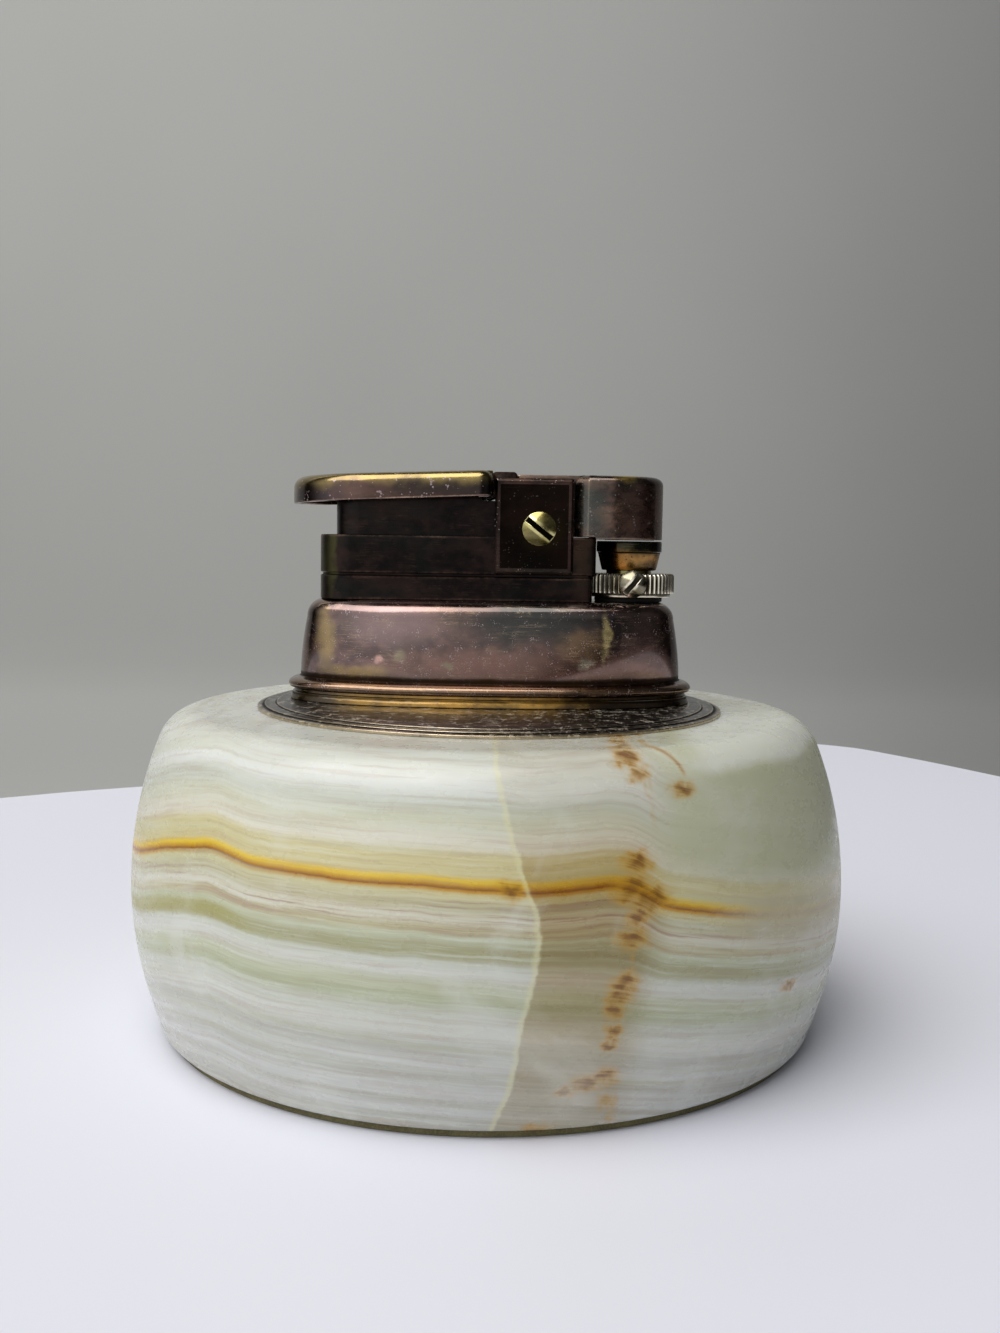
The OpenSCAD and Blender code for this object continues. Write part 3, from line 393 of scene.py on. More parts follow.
class Wiring:
    """Adds nodes to one tree and joins them; most methods return the output socket they made."""

    def __init__(self, tree: bpy.types.NodeTree) -> None:
        """Keeps the tree that the nodes go into."""
        self.tree = tree

    def put(self, socket: Socket, value: Optional[Value]) -> None:
        """Joins a socket to another, or sets its value.

        Args:
            socket: the input.
            value: an output, a value, or None to leave the input as it is.
        """
        if isinstance(value, bpy.types.NodeSocket):
            self.tree.links.new(value, socket)
        elif value is not None:
            socket.default_value = value

    def node(self, kind: str, inputs: Optional[dict] = None, **settings: object) -> bpy.types.Node:
        """Adds a node.

        Args:
            kind: node type without its ShaderNode prefix.
            inputs: values or sockets for its inputs, by name or number.
            settings: attributes of the node.

        Returns:
            The node.
        """
        made = self.tree.nodes.new("ShaderNode" + kind)
        for key, value in settings.items():
            setattr(made, key, value)
        for key, value in (inputs or {}).items():
            self.put(made.inputs[key], value)
        return made

    def math(self, operation: str, a: Value, b: Optional[Value] = None, clamp: bool = False) -> Socket:
        """Result of one arithmetic operation."""
        return self.node("Math", {0: a, 1: b}, operation=operation, use_clamp=clamp).outputs[0]

    def times(self, a: Value, b: Value, clamp: bool = False) -> Socket:
        """Product of two values, kept between 0 and 1 if clamped."""
        return self.math("MULTIPLY", a, b, clamp)

    def plus(self, a: Value, b: Value) -> Socket:
        """Sum of two values."""
        return self.math("ADD", a, b)

    def minus(self, a: Value, b: Value) -> Socket:
        """Difference of two values."""
        return self.math("SUBTRACT", a, b)

    def most(self, a: Value, b: Value) -> Socket:
        """Greater of two values."""
        return self.math("MAXIMUM", a, b)

    def apart(self, a: Value, b: Value) -> Socket:
        """Distance between two values."""
        return self.math("ABSOLUTE", self.minus(a, b))

    def vector(self, operation: str, a: Value, b: Optional[Value] = None, c: Optional[Value] = None) -> Socket:
        """Result of one operation on vectors: a number for a length, a distance or a product, else a vector."""
        made = self.node("VectorMath", {0: a, 1: b, 2: c}, operation=operation)
        return made.outputs["Value" if operation in ("LENGTH", "DISTANCE", "DOT_PRODUCT") else "Vector"]

    def fade(self, value: Value, low: float, high: float, to_low: Value = 0.0, to_high: Value = 1.0) -> Socket:
        """Smooth step of a value: a + (b - a) (3 t^2 - 2 t^3) for its share t of the way from low to high.

        Args:
            value: what it is a function of.
            low: where the step starts, which may be the greater of the two.
            high: where the step ends.
            to_low: result a at low.
            to_high: result b at high.

        Returns:
            The result's socket.
        """
        inputs = {0: value, 1: low, 2: high, 3: to_low, 4: to_high}
        if low > high:
            inputs = {0: value, 1: high, 2: low, 3: to_high, 4: to_low}
        return self.node("MapRange", inputs, interpolation_type="SMOOTHSTEP").outputs[0]

    def mix(self, factor: Value, a: Value, b: Value, blend: str = "MIX") -> Socket:
        """Mix of two colours."""
        settings = {"data_type": "RGBA", "blend_type": blend, "clamp_result": False}
        return self.node("Mix", {0: factor, 6: a, 7: b}, **settings).outputs[2]

    def noise(self, vector: Socket, scale: float, detail: float = 3.0, rough: float = 0.5,
              distortion: float = 0.0) -> Socket:
        """Layered noise, 0 to 1, with its scale per millimetre."""
        values = dict(Vector=vector, Scale=scale, Detail=detail, Roughness=rough, Distortion=distortion)
        return self.node("TexNoise", values).outputs["Fac"]

    def streaks(self, vector: Socket, scale: tuple, detail: float = 3.0, rough: float = 0.5,
                distortion: float = 0.0) -> Socket:
        """Layered noise, 0 to 1, with its own scale per millimetre along each axis."""
        return self.noise(self.stretched(vector, scale), 1.0, detail, rough, distortion)

    def cells(self, vector: Socket, scale: Value) -> Socket:
        """Distance to the nearest of scattered points, with their scale per millimetre."""
        return self.node("TexVoronoi", {"Vector": vector, "Scale": scale}).outputs["Distance"]

    def stretched(self, vector: Socket, scale: tuple, turn: tuple = (0.0, 0.0, 0.0),
                  move: tuple = (0.0, 0.0, 0.0)) -> Socket:
        """Vector moved, turned (degrees) and scaled on its axes."""
        values = {0: vector, 1: move, 2: tuple(map(math.radians, turn)), 3: scale}
        return self.node("Mapping", values).outputs[0]

    def place(self) -> Socket:
        """Place on the piece, in millimetres, from its Object coordinates."""
        return self.stretched(self.node("TexCoord").outputs["Object"], (1 / MM,) * 3)

    def curve(self, value: Value, low: float, high: float, points: Sequence[tuple], out: tuple) -> Socket:
        """Smooth function through points.

        Args:
            value: what it is a function of.
            low: least value.
            high: greatest value.
            points: pairs (value, result).
            out: least and greatest result.

        Returns:
            The result's socket.
        """
        t = self.node("MapRange", {0: value, 1: low, 2: high}).outputs[0]
        made = self.node("FloatCurve", {1: t})
        line = made.mapping.curves[0].points
        scaled = [((x - low) / (high - low), (y - out[0]) / (out[1] - out[0])) for x, y in points]
        line[0].location, line[-1].location = scaled[0], scaled[-1]
        for spot in scaled[1:-1]:
            line.new(*spot)
        made.mapping.update()
        return self.node("MapRange", {0: made.outputs[0], 3: out[0], 4: out[1]}).outputs[0]

    def ramp(self, value: Value, stops: Sequence[tuple]) -> Socket:
        """Colour as an eased function of a value.

        Args:
            value: what it is a function of, 0 to 1.
            stops: pairs (value, colour), in order.

        Returns:
            The colour's socket.
        """
        made = self.node("ValToRGB", {0: value})
        line = made.color_ramp
        line.interpolation = "EASE"
        line.elements[0].position, line.elements[0].color = stops[0]
        line.elements[1].position, line.elements[1].color = stops[-1]
        for position, colour in stops[1:-1]:
            line.elements.new(position).color = colour
        return made.outputs[0]

    def group(self, tree: bpy.types.NodeTree, inputs: dict) -> bpy.types.Node:
        """Places a node group with its own values.

        Args:
            tree: the group's tree.
            inputs: values or sockets for its inputs, by name.

        Returns:
            The group's node.
        """
        made = self.tree.nodes.new("ShaderNodeGroup")
        made.node_tree = tree
        for key, value in inputs.items():
            self.put(made.inputs[key], value)
        return made


class Effects:
    """Shader node groups that several finishes share, each built once."""

    def __init__(self) -> None:
        """Starts with no group built."""
        self.built: dict[str, bpy.types.NodeTree] = {}

    def make(self, name: str, floats: dict, outputs: Sequence[str], fill: Callable) -> bpy.types.NodeTree:
        """Builds a group on first use.

        Args:
            name: name of the group.
            floats: its number inputs besides Vector, with their usual values.
            outputs: names of its outputs.
            fill: function of the wiring and the group's inputs that returns the output sockets.

        Returns:
            The group's tree.
        """
        if name in self.built:
            return self.built[name]
        tree = bpy.data.node_groups.new(name, "ShaderNodeTree")
        tree.interface.new_socket("Vector", in_out="INPUT", socket_type="NodeSocketVector")
        for key, usual in floats.items():
            tree.interface.new_socket(key, in_out="INPUT", socket_type="NodeSocketFloat").default_value = usual
        for key in outputs:
            tree.interface.new_socket(key, in_out="OUTPUT", socket_type="NodeSocketFloat")
        start, end = tree.nodes.new("NodeGroupInput"), tree.nodes.new("NodeGroupOutput")
        for socket, result in zip(end.inputs, fill(Wiring(tree), start.outputs)):
            tree.links.new(result, socket)
        self.built[name] = tree
        return tree

    def tarnish(self) -> bpy.types.NodeTree:
        """Clouds of thick and thin tarnish: layered noise bent by a broader one.

        Returns:
            The group's tree.
        """
        def fill(w: Wiring, given: bpy.types.bpy_prop_collection) -> list:
            """Works out the cloud, its fine grain and the stain.

            Args:
                w: the group's wiring.
                given: its inputs.

            Returns:
                Its outputs.
            """
            broad = w.streaks(given["Vector"], (0.11, 0.11, 0.16), 3, 0.55, 0.6)
            fine = w.streaks(given["Vector"], (0.55, 0.55, 0.8), 5, 0.62, 0.3)
            both = w.plus(w.times(broad, 0.62), w.times(fine, 0.38))
            aside = w.stretched(given["Vector"], (0.09, 0.09, 0.2), move=(31.0, 7.0, 3.0))
            other = w.noise(aside, 1.0, 4, 0.6, 0.8)
            return [w.fade(both, 0.38, 0.62), fine, w.fade(other, 0.46, 0.62)]
        return self.make("tarnish clouds", {}, ("Cloud", "Fine", "Stain"), fill)

    def speckle(self) -> bpy.types.NodeTree:
        """Small round spots: cells nearer than a radius that noise varies.

        Returns:
            The group's tree.
        """
        def fill(w: Wiring, given: bpy.types.bpy_prop_collection) -> list:
            """Works out the mask of the spots.

            Args:
                w: the group's wiring.
                given: its inputs.

            Returns:
                Its output.
            """
            near = w.cells(given["Vector"], given["Scale"])
            patches = w.noise(given["Vector"], 0.9, 3, 0.6)
            size = w.times(w.fade(patches, 0.42, 0.75), given["Amount"])
            return [w.math("GREATER_THAN", w.minus(size, near), 0.0)]
        return self.make("speckle", {"Scale": 2.5, "Amount": 0.4}, ("Spots",), fill)

    def scratches(self) -> bpy.types.NodeTree:
        """Fine straight scratches: thin bands of noise stretched along three directions, broken by noise.

        Returns:
            The group's tree.
        """
        def fill(w: Wiring, given: bpy.types.bpy_prop_collection) -> list:
            """Works out the mask of the scratches.

            Args:
                w: the group's wiring.
                given: its inputs.

            Returns:
                Its output.
            """
            lines = []
            for turn, seed in ((8.0, 3.0), (71.0, 17.0), (-38.0, 29.0)):
                lay = w.stretched(given["Vector"], (0.08, 0.08, 3.2), (0.0, turn, turn * 0.6), (seed,) * 3)
                band = w.apart(w.noise(lay, 1.0, 2, 0.5), 0.5)
                lines.append(w.fade(band, 0.008, 0.0))
            patches = w.fade(w.noise(given["Vector"], 0.35, 3, 0.6), 0.45, 0.65)
            any_line = w.most(w.most(lines[0], lines[1]), lines[2])
            return [w.times(w.times(any_line, patches), given["Amount"], clamp=True)]
        return self.make("scratches", {"Amount": 1.0}, ("Lines",), fill)

    def rubbed(self) -> bpy.types.NodeTree:
        """Rubbed edges: the piece's edge_wear, broken by noise, above a threshold that Amount lowers.

        Returns:
            The group's tree.
        """
        def fill(w: Wiring, given: bpy.types.bpy_prop_collection) -> list:
            """Works out the mask of the rubbed metal.

            Args:
                w: the group's wiring.
                given: its inputs.

            Returns:
                Its output.
            """
            ragged = w.noise(given["Vector"], 1.6, 4, 0.65)
            broad = w.noise(given["Vector"], 0.12, 2, 0.5)
            lift = w.plus(ragged, w.times(broad, 1.4))
            level = w.times(w.times(given["Wear"], lift), given["Amount"])
            return [w.fade(level, 0.35, 0.95)]
        return self.make("rubbed edges", {"Wear": 0.0, "Amount": 1.0}, ("Mask",), fill)


EFFECTS = Effects()


@dataclass(frozen=True)
class Finish:
    """One finish, with the material slot that it belongs to."""

    name: str
    slot: str = ""

    def material(self) -> bpy.types.Material:
        """Builds the finish's material, on first use.

        Returns:
            The material.
        """
        title = f"{self.name} surface"
        found = bpy.data.materials.get(title)
        if found:
            return found
        made = bpy.data.materials.new(title)
        made.use_nodes = True
        made.node_tree.nodes.clear()
        w = Wiring(made.node_tree)
        shader = w.node("BsdfPrincipled")
        out = w.node("OutputMaterial", {"Surface": shader.outputs[0]})
        out.is_active_output = True
        self.dress(w, shader)
        return made

    def dress(self, w: Wiring, shader: bpy.types.Node) -> None:
        """Joins the finish's own nodes to the shader."""
        raise NotImplementedError

    def bump(self, w: Wiring, shader: bpy.types.Node, height: Socket, strength: float, depth: float) -> None:
        """Feeds a height in millimetres to the shader's normal."""
        made = w.node("Bump", {"Height": height, "Strength": strength, "Distance": depth * MM})
        w.put(shader.inputs["Normal"], made.outputs[0])


@dataclass(frozen=True)
class Glaze:
    """A soft patch of another tone, used both for tarnish and for painted reflections, highlights and shade:
    its middle and reach in x and z, its colour and its strength.
    """

    x: float
    z: float
    reach_x: float
    reach_z: float
    colour: str
    strength: float

    def over(self, w: Wiring, tone: Socket, at: Socket) -> Socket:
        """Mixes the patch over a tone, fading from a quarter of its reach to its rim.

        Args:
            w: the material's wiring.
            tone: the tone under it.
            at: the place on the piece, bent by noise.

        Returns:
            The mixed tone.
        """
        off = w.vector("SUBTRACT", at, (self.x, 0.0, self.z))
        far = w.vector("LENGTH", w.vector("MULTIPLY", off, (1 / self.reach_x, 0.0, 1 / self.reach_z)))
        return w.mix(w.fade(far, 1.0, 0.25, 0.0, self.strength), tone, paint(self.colour))


@dataclass(frozen=True)
class Metal(Finish):
    """Tarnished plated metal: clouds between two tones and a stain, rubbed edges, spots, scratches, and hollows
    darkened with painted shade and grime.
    """

    dark: str = "2f2220"
    light: str = "6f5048"
    stain: str = "3d4038"
    worn: str = "bd9a54"
    spot: str = "c9b7a4"
    rough: tuple = (0.2, 0.36)
    stained: float = 0.5
    rub: float = 1.0
    spots: float = 0.0
    spot_scale: float = 2.5
    scratch: float = 0.5
    grime_and_shade_tone: str = "0d0a08"
    grime_and_shade_amount: float = 0.85
    relief: float = 0.012
    lacquer: float = 0.3
    dust: float = 0.0
    glazes: tuple = ()

    def dress(self, w: Wiring, shader: bpy.types.Node) -> None:
        """Joins tarnish, stain, spots, rubbed edges, scratches and the hollows' painted shade and grime to the
        shader.

        Args:
            w: the material's wiring.
            shader: its Principled shader.
        """
        at = w.place()
        clouds = w.group(EFFECTS.tarnish(), {"Vector": at}).outputs
        cloud, fine, stain = (clouds[name] for name in ("Cloud", "Fine", "Stain"))
        spotted = {"Vector": at, "Scale": self.spot_scale, "Amount": self.spots}
        spots = w.group(EFFECTS.speckle(), spotted).outputs[0]
        lines = w.group(EFFECTS.scratches(), {"Vector": at, "Amount": self.scratch}).outputs[0]
        wear = w.node("Attribute", attribute_name="edge_wear").outputs["Fac"]
        edge = w.group(EFFECTS.rubbed(), {"Vector": at, "Wear": wear, "Amount": self.rub}).outputs[0]
        tone = w.mix(cloud, paint(self.dark), paint(self.light))
        tone = w.mix(w.times(stain, self.stained), tone, paint(self.stain))
        # The glazes' place is bent by up to 1.8 mm, so that their rims run uneven
        bent = w.node("TexNoise", {"Vector": at, "Scale": 0.3, "Detail": 4.0}).outputs["Color"]
        bent = w.vector("ADD", at, w.vector("MULTIPLY_ADD", bent, (3.6,) * 3, (-1.8,) * 3))
        for glaze in self.glazes:
            tone = glaze.over(w, tone, bent)
        tone = w.mix(w.times(spots, 0.7), tone, paint(self.spot))
        tone = w.mix(edge, tone, paint(self.worn))
        tone = w.mix(w.times(lines, 0.55), tone, paint(self.worn))
        # The hollows darken towards a near-black tone: painted shade, partly grime. The same mask thins the
        # coat and roughens the surface.
        hollow = w.node("Attribute", attribute_name="hollow").outputs["Fac"]
        darkening = w.times(w.fade(w.plus(hollow, w.times(fine, 0.3)), 0.5, 1.0), self.grime_and_shade_amount)
        tone = w.mix(darkening, tone, paint(self.grime_and_shade_tone))
        w.put(shader.inputs["Base Color"], tone)
        w.put(shader.inputs["Metallic"], w.minus(1.0, w.times(spots, self.dust)))
        w.put(shader.inputs["Coat Weight"], w.fade(darkening, 0.3, 0.8, self.lacquer, 0.0))
        shader.inputs["Coat Roughness"].default_value = 0.09
        shader.inputs["Coat IOR"].default_value = 2.1
        low, high = self.rough
        gloss = w.node("MapRange", {0: fine, 1: 0.3, 2: 0.7, 3: low, 4: high}).outputs[0]
        gloss = w.plus(w.plus(gloss, w.times(spots, 0.12)), w.times(darkening, 0.3))
        w.put(shader.inputs["Roughness"], w.minus(gloss, w.times(edge, 0.06)))
        height = w.plus(w.minus(fine, w.times(lines, 0.5)), w.times(spots, 0.4))
        self.bump(w, shader, height, 0.6, self.relief)


@dataclass(frozen=True)
class Dull(Finish):
    """Rubber or felt: a matt body with a fine grain of fibres or dust."""

    dark: str = "1f1c19"
    light: str = "35312c"
    grain: float = 3.0
    rough: float = 0.8
    relief: float = 0.03

    def dress(self, w: Wiring, shader: bpy.types.Node) -> None:
        """Joins a mottled colour and a fine grain to the shader.

        Args:
            w: the material's wiring.
            shader: its Principled shader.
        """
        at = w.place()
        grain = w.noise(at, self.grain, 5, 0.7, 0.4)
        broad = w.noise(at, 0.25, 3, 0.5)
        both = w.plus(w.times(grain, 0.6), w.times(broad, 0.4))
        w.put(shader.inputs["Base Color"], w.mix(w.fade(both, 0.35, 0.65), paint(self.dark), paint(self.light)))
        w.put(shader.inputs["Roughness"], w.fade(grain, 0.2, 0.8, self.rough - 0.1, self.rough + 0.1))
        self.bump(w, shader, grain, 0.8, self.relief)


class Shade(Enum):
    """Tones of the banded stone."""

    MILK = "d8dad3"
    CREAM = "d5d1c0"
    PEARL = "cbccc2"
    FOG = "c5c6c1"
    MIST = "c4c7ba"
    SAND = "cac6b2"
    SHELL = "c9c9b4"
    STRAW = "cac193"
    OLIVE = "b9b28f"
    MOSS = "babea2"
    CELADON = "b0b697"
    SAGE = "a5a480"
    ASH = "b7b8ae"
    GREY = "aeaca2"
    YELLOW = "dcbd3a"
    OCHRE = "c0921f"
    BROWN = "8a5210"
    RUST = "653408"
    PINK = "a8907f"
    LICHEN = "a09a4e"
    HAY = "b9b294"
    REED = "bcbd9e"
    TEA = "dccdb2"
    BUTTER = "d8d4a8"

    @property
    def tone(self) -> tuple:
        """The tone's linear colour."""
        return paint(self.value)


@dataclass(frozen=True)
class Bearings:
    """Sockets that say where a point of the stone is, all worked out from its place `at`.

    They are its coordinates, the height h of its layer and the noise that makes the layers wobble, its
    distances past the fault and past the vein, how much it counts as front, as right of the fault and as beyond
    the vein, the fine and the broad lines between the layers, and how far it is off the yellow layer.
    """

    at: Socket
    x: Socket
    y: Socket
    z: Socket
    h: Socket
    wobble: Socket
    to_fault: Socket
    to_vein: Socket
    front: Socket
    right: Socket
    beyond: Socket
    fine: Socket
    broad: Socket
    off_band: Socket


@dataclass(frozen=True)
class Onyx(Finish):
    """Banded onyx: a colour for each height of the layers, which sag and hump across the stone.

    `sag` and `kink` are pairs (x, drop), `fault` and `vein` pairs (z, x), `layers` pairs (height, shade), and
    `blots` are (x, z, size).
    """

    half: float = 50.0
    tall: float = 45.0
    sag: tuple = ((-50, -4.6), (-45, -3.0), (-42, -1.6), (-39, -0.3), (-34, 1.0), (-32, 1.25), (-29, 0.85),
                  (-26, 0.5), (-17, 0.4), (0, 0.0), (6, -0.6), (12, -1.3), (17, -2.2), (22, -3.35), (26, -4.15),
                  (34, -5.9), (40, -7.2), (50, -9.2))
    kink: tuple = ((-50, 0.0), (3, 0.0), (8, 0.5), (12, 1.15), (15.5, 1.6), (17.5, 1.3), (19, 0.8), (21.5, 0.1),
                   (26, 0.0), (50, 0.0))
    fault: tuple = ((0, 1.0), (2.2, 1.6), (7.3, 3.4), (13.5, 4.3), (19.6, 5.7), (24.8, 6.2), (29.8, 4.9),
                    (36, 3.0), (42.4, 1.5), (45, 1.0))
    vein: tuple = ((0, 14.2), (8.4, 14.7), (12.8, 15.2), (16.3, 15.7), (19, 16.0), (23.5, 17.2), (26.7, 17.2),
                   (34, 17.8), (38, 18.2), (42.3, 18.3), (45, 18.5))
    layers: tuple = ((0.0, Shade.GREY), (2.6, Shade.ASH), (3.6, Shade.FOG), (4.7, Shade.ASH), (6.0, Shade.FOG),
                     (8.3, Shade.ASH), (9.6, Shade.FOG), (11.4, Shade.ASH), (13.9, Shade.PEARL),
                     (15.6, Shade.MIST), (17.5, Shade.CELADON), (18.6, Shade.MOSS), (20.6, Shade.PEARL),
                     (21.6, Shade.MIST), (22.5, Shade.SAGE), (23.3, Shade.SAGE), (24.4, Shade.MOSS),
                     (25.4, Shade.OLIVE), (26.6, Shade.SAND), (28.0, Shade.OLIVE), (29.2, Shade.STRAW),
                     (29.65, Shade.OCHRE), (29.92, Shade.BROWN), (30.2, Shade.OCHRE), (30.7, Shade.YELLOW),
                     (31.4, Shade.STRAW), (33.1, Shade.STRAW), (34.6, Shade.CREAM), (36.8, Shade.SHELL),
                     (38.6, Shade.MIST), (40.4, Shade.MILK), (43.0, Shade.PEARL))
    blots: tuple = (
        (16.0, 43.2, 1.1), (17.2, 41.5, 0.9), (22.5, 39.7, 1.0), (17.1, 32.3, 1.2), (16.4, 29.4, 1.5),
        (18.4, 28.0, 1.7), (17.2, 26.2, 1.0), (16.6, 23.9, 1.3), (15.7, 19.0, 1.2), (15.3, 17.4, 1.0),
        (14.9, 15.9, 1.0), (14.6, 13.4, 0.8), (14.3, 12.0, 0.7), (13.8, 7.8, 1.1), (12.0, 7.2, 1.2),
        (9.6, 6.2, 0.8), (6.4, 0.7, 1.4), (37.1, 14.2, 0.7), (3.1, 29.6, 1.1))
    arc_middle: tuple = (16.9, 39.9)
    arc_size: tuple = (6.1, 4.7)

    def bearings(self, w: Wiring) -> Bearings:
        """Works out where a point of the stone is.

        The height of its layer is h = z - sag(x) - kink(x) s(z), with s a smooth step, and two noises on top.
        It is past a line such as the fault by x - line(z), which a noise frays.

        Args:
            w: the material's wiring.

        Returns:
            The bearings.
        """
        at = w.place()
        x, y, z = w.node("SeparateXYZ", {0: at}).outputs
        sag = w.curve(x, -self.half, self.half, self.sag, (-10, 4))
        kink = w.times(w.curve(x, -self.half, self.half, self.kink, (-1, 3)), w.fade(z, 16, 27))
        wobble = w.streaks(at, (0.07, 0.07, 0.03), 2)
        ripple = w.streaks(at, (0.35, 0.35, 0.12), 3, 0.6)
        h = w.minus(w.minus(z, sag), kink)
        h = w.plus(h, w.times(w.minus(wobble, 0.5), 0.7))
        h = w.plus(h, w.times(w.minus(ripple, 0.5), 0.35))
        fray = w.times(w.minus(w.noise(at, 0.5, 3, 0.6), 0.5), 1.2)
        to_fault = w.plus(w.minus(x, w.curve(z, 0, self.tall, self.fault, (0, 10))), fray)
        to_vein = w.plus(w.minus(x, w.curve(z, 0, self.tall, self.vein, (10, 20))), w.times(fray, 1.6))
        front = w.fade(y, 20, -12)
        right = w.times(w.fade(to_fault, -0.1, 0.25), front)
        beyond = w.times(w.fade(to_vein, -1.0, 5.0), front)
        lay = w.node("CombineXYZ", {0: w.times(x, 0.03), 1: w.times(y, 0.03), 2: h}).outputs[0]
        fine, broad = w.noise(lay, 2.1, 4, 0.62), w.noise(lay, 0.55)
        off_band = w.fade(w.apart(h, 30.4), 0.8, 2.2, 0.15, 1.0)
        return Bearings(at, x, y, z, h, wobble, to_fault, to_vein, front, right, beyond, fine, broad, off_band)

    def banded(self, w: Wiring, b: Bearings) -> Socket:
        """Colours the layers, the fine lines between them and a yellower patch at the left.

        Args:
            w: the material's wiring.
            b: where the point is.

        Returns:
            The colour's socket.
        """
        stops = [(h / self.tall, shade.tone) for h, shade in self.layers]
        colour = w.ramp(w.math("DIVIDE", b.h, self.tall), stops)
        pink = w.fade(w.apart(b.h, 27.2), 3.0, 1.2, 0.24, 0.8)
        pale = w.times(w.fade(b.fine, 0.47, 0.7, 0.0, 0.4), b.off_band)
        colour = w.mix(pale, colour, Shade.MILK.tone)
        colour = w.mix(w.times(w.fade(b.fine, 0.51, 0.36), pink), colour, Shade.PINK.tone)
        colour = w.mix(w.fade(b.broad, 0.5, 0.7, 0.0, 0.35), colour, Shade.MOSS.tone)
        patch = w.times(w.fade(b.x, -24, -32), w.fade(w.apart(b.h, 23.2), 1.8, 0.2))
        return w.mix(w.times(patch, 0.6), colour, Shade.LICHEN.tone)

    def sided(self, w: Wiring, b: Bearings, colour: Socket) -> Socket:
        """Changes the stone from the left to the right.

        The yellow layer dies away to the right; the stone there is green and nearly plain, with a white cloud
        on top. It is browner between the fault and the vein, and the fault itself is a pale line.

        Args:
            w: the material's wiring.
            b: where the point is.
            colour: the layers' colour.

        Returns:
            The colour's socket.
        """
        band = w.fade(w.apart(b.h, 29.6), 4.0, 1.5)
        far = w.times(w.times(w.fade(b.x, 25, 34), b.front), band)
        colour = w.mix(w.times(far, 0.8), colour, Shade.HAY.tone)
        plain = w.times(b.beyond, w.fade(b.h, 31.5, 36.0, 0.0, 0.85))
        colour = w.mix(plain, colour, Shade.REED.tone)
        rise = w.plus(b.z, w.times(b.wobble, 3.0))
        cloud = w.times(w.fade(rise, 42.0, 43.4), w.times(w.fade(b.x, 22, 27), b.front))
        colour = w.mix(w.times(cloud, 0.75), colour, Shade.MILK.tone)
        between = w.times(b.right, w.minus(1.0, b.beyond))
        between = w.times(between, w.fade(b.z, 0, 16, 0.55, 1.0))
        colour = w.mix(w.times(between, w.fade(b.h, 37, 30, 0.25, 1.0)), colour, Shade.TEA.tone, "MULTIPLY")
        line = w.times(w.fade(w.apart(b.to_fault, -0.2), 0.6, 0.0), b.front)
        return w.mix(w.times(line, 0.5), colour, Shade.BUTTER.tone)

    def rusted(self, w: Wiring, b: Bearings, colour: Socket) -> Socket:
        """Adds the rust: blots, a thread along the vein, and an arc over the shoulder.

        A blot is the distance to its middle, with x shortened to 0.7 and both coordinates bent by noise. The
        arc is where ((x - a) / c)^2 + ((u - b) / d)^2 = 1, with u = z + 0.151 (y + 39) on the shoulder.

        Args:
            w: the material's wiring.
            b: where the point is.
            colour: the stone's colour.

        Returns:
            The colour's socket.
        """
        narrow = 0.7
        bends = [w.times(w.minus(w.streaks(b.at, reach, 2), 0.5), 2.4)
                 for reach in ((0.45, 0.45, 0.6), (0.6, 0.6, 0.5))]
        across = w.times(w.plus(b.x, bends[0]), narrow)
        flat = w.node("CombineXYZ", {0: across, 1: w.plus(b.z, bends[1])}).outputs[0]
        darkening = w.fade(w.math("ABSOLUTE", b.to_vein), 1.9, 0.0)
        broken = w.streaks(b.at, (0.4, 0.4, 0.16), 3, 0.6)
        darkening = w.times(darkening, w.fade(broken, 0.44, 0.68, 0.0, 0.62))
        for u, v, size in self.blots:
            off = w.vector("DISTANCE", flat, (narrow * u, v, 0.0))
            darkening = w.most(darkening, w.fade(off, 1.8 * size, -0.1))
        up = w.plus(b.z, w.times(w.plus(b.y, 39.0), 0.151))
        parts = [w.math("DIVIDE", w.minus(way, middle), size)
                 for way, middle, size in zip((b.x, up), self.arc_middle, self.arc_size)]
        ring = w.math("SQRT", w.plus(w.math("POWER", parts[0], 2.0), w.math("POWER", parts[1], 2.0)))
        thread = w.fade(w.apart(ring, 1.0), 0.1, -0.01)
        thread = w.times(w.times(thread, w.fade(b.x, 17.0, 20.0)), w.fade(parts[1], 0.0, 0.5))
        darkening = w.times(w.most(darkening, thread), b.front)
        darkening = w.times(darkening, w.fade(b.fine, 0.35, 0.6, 1.25, 0.85))
        colour = w.mix(w.fade(darkening, 0.0, 0.8, 0.0, 0.68), colour, Shade.OCHRE.tone)
        return w.mix(w.fade(darkening, 0.42, 1.1, 0.0, 0.75), colour, Shade.RUST.tone)

    def dress(self, w: Wiring, shader: bpy.types.Node) -> None:
        """Joins layers, fault, vein, rust, haze and smears to the shader.

        Args:
            w: the material's wiring.
            shader: its Principled shader.
        """
        b = self.bearings(w)
        colour = self.rusted(w, b, self.sided(w, b, self.banded(w, b)))
        haze = w.times(w.fade(w.noise(b.at, 0.06, 4, 0.55, 0.8), 0.5, 0.72, 0.0, 0.35), b.off_band)
        w.put(shader.inputs["Base Color"], w.mix(haze, colour, Shade.MILK.tone))
        for name, value in (("Subsurface Weight", 0.6), ("Subsurface Radius", (1.0, 0.92, 0.62)),
                            ("Subsurface Scale", 0.004), ("IOR", 1.5), ("Coat Weight", 0.05),
                            ("Coat Roughness", 0.2)):
            shader.inputs[name].default_value = value
        smears = w.streaks(b.at, (0.25, 0.25, 0.5), 4, 0.6)
        w.put(shader.inputs["Roughness"], w.fade(smears, 0.35, 0.7, 0.24, 0.38))
        self.bump(w, shader, w.plus(smears, w.times(b.fine, 0.3)), 0.25, 0.02)


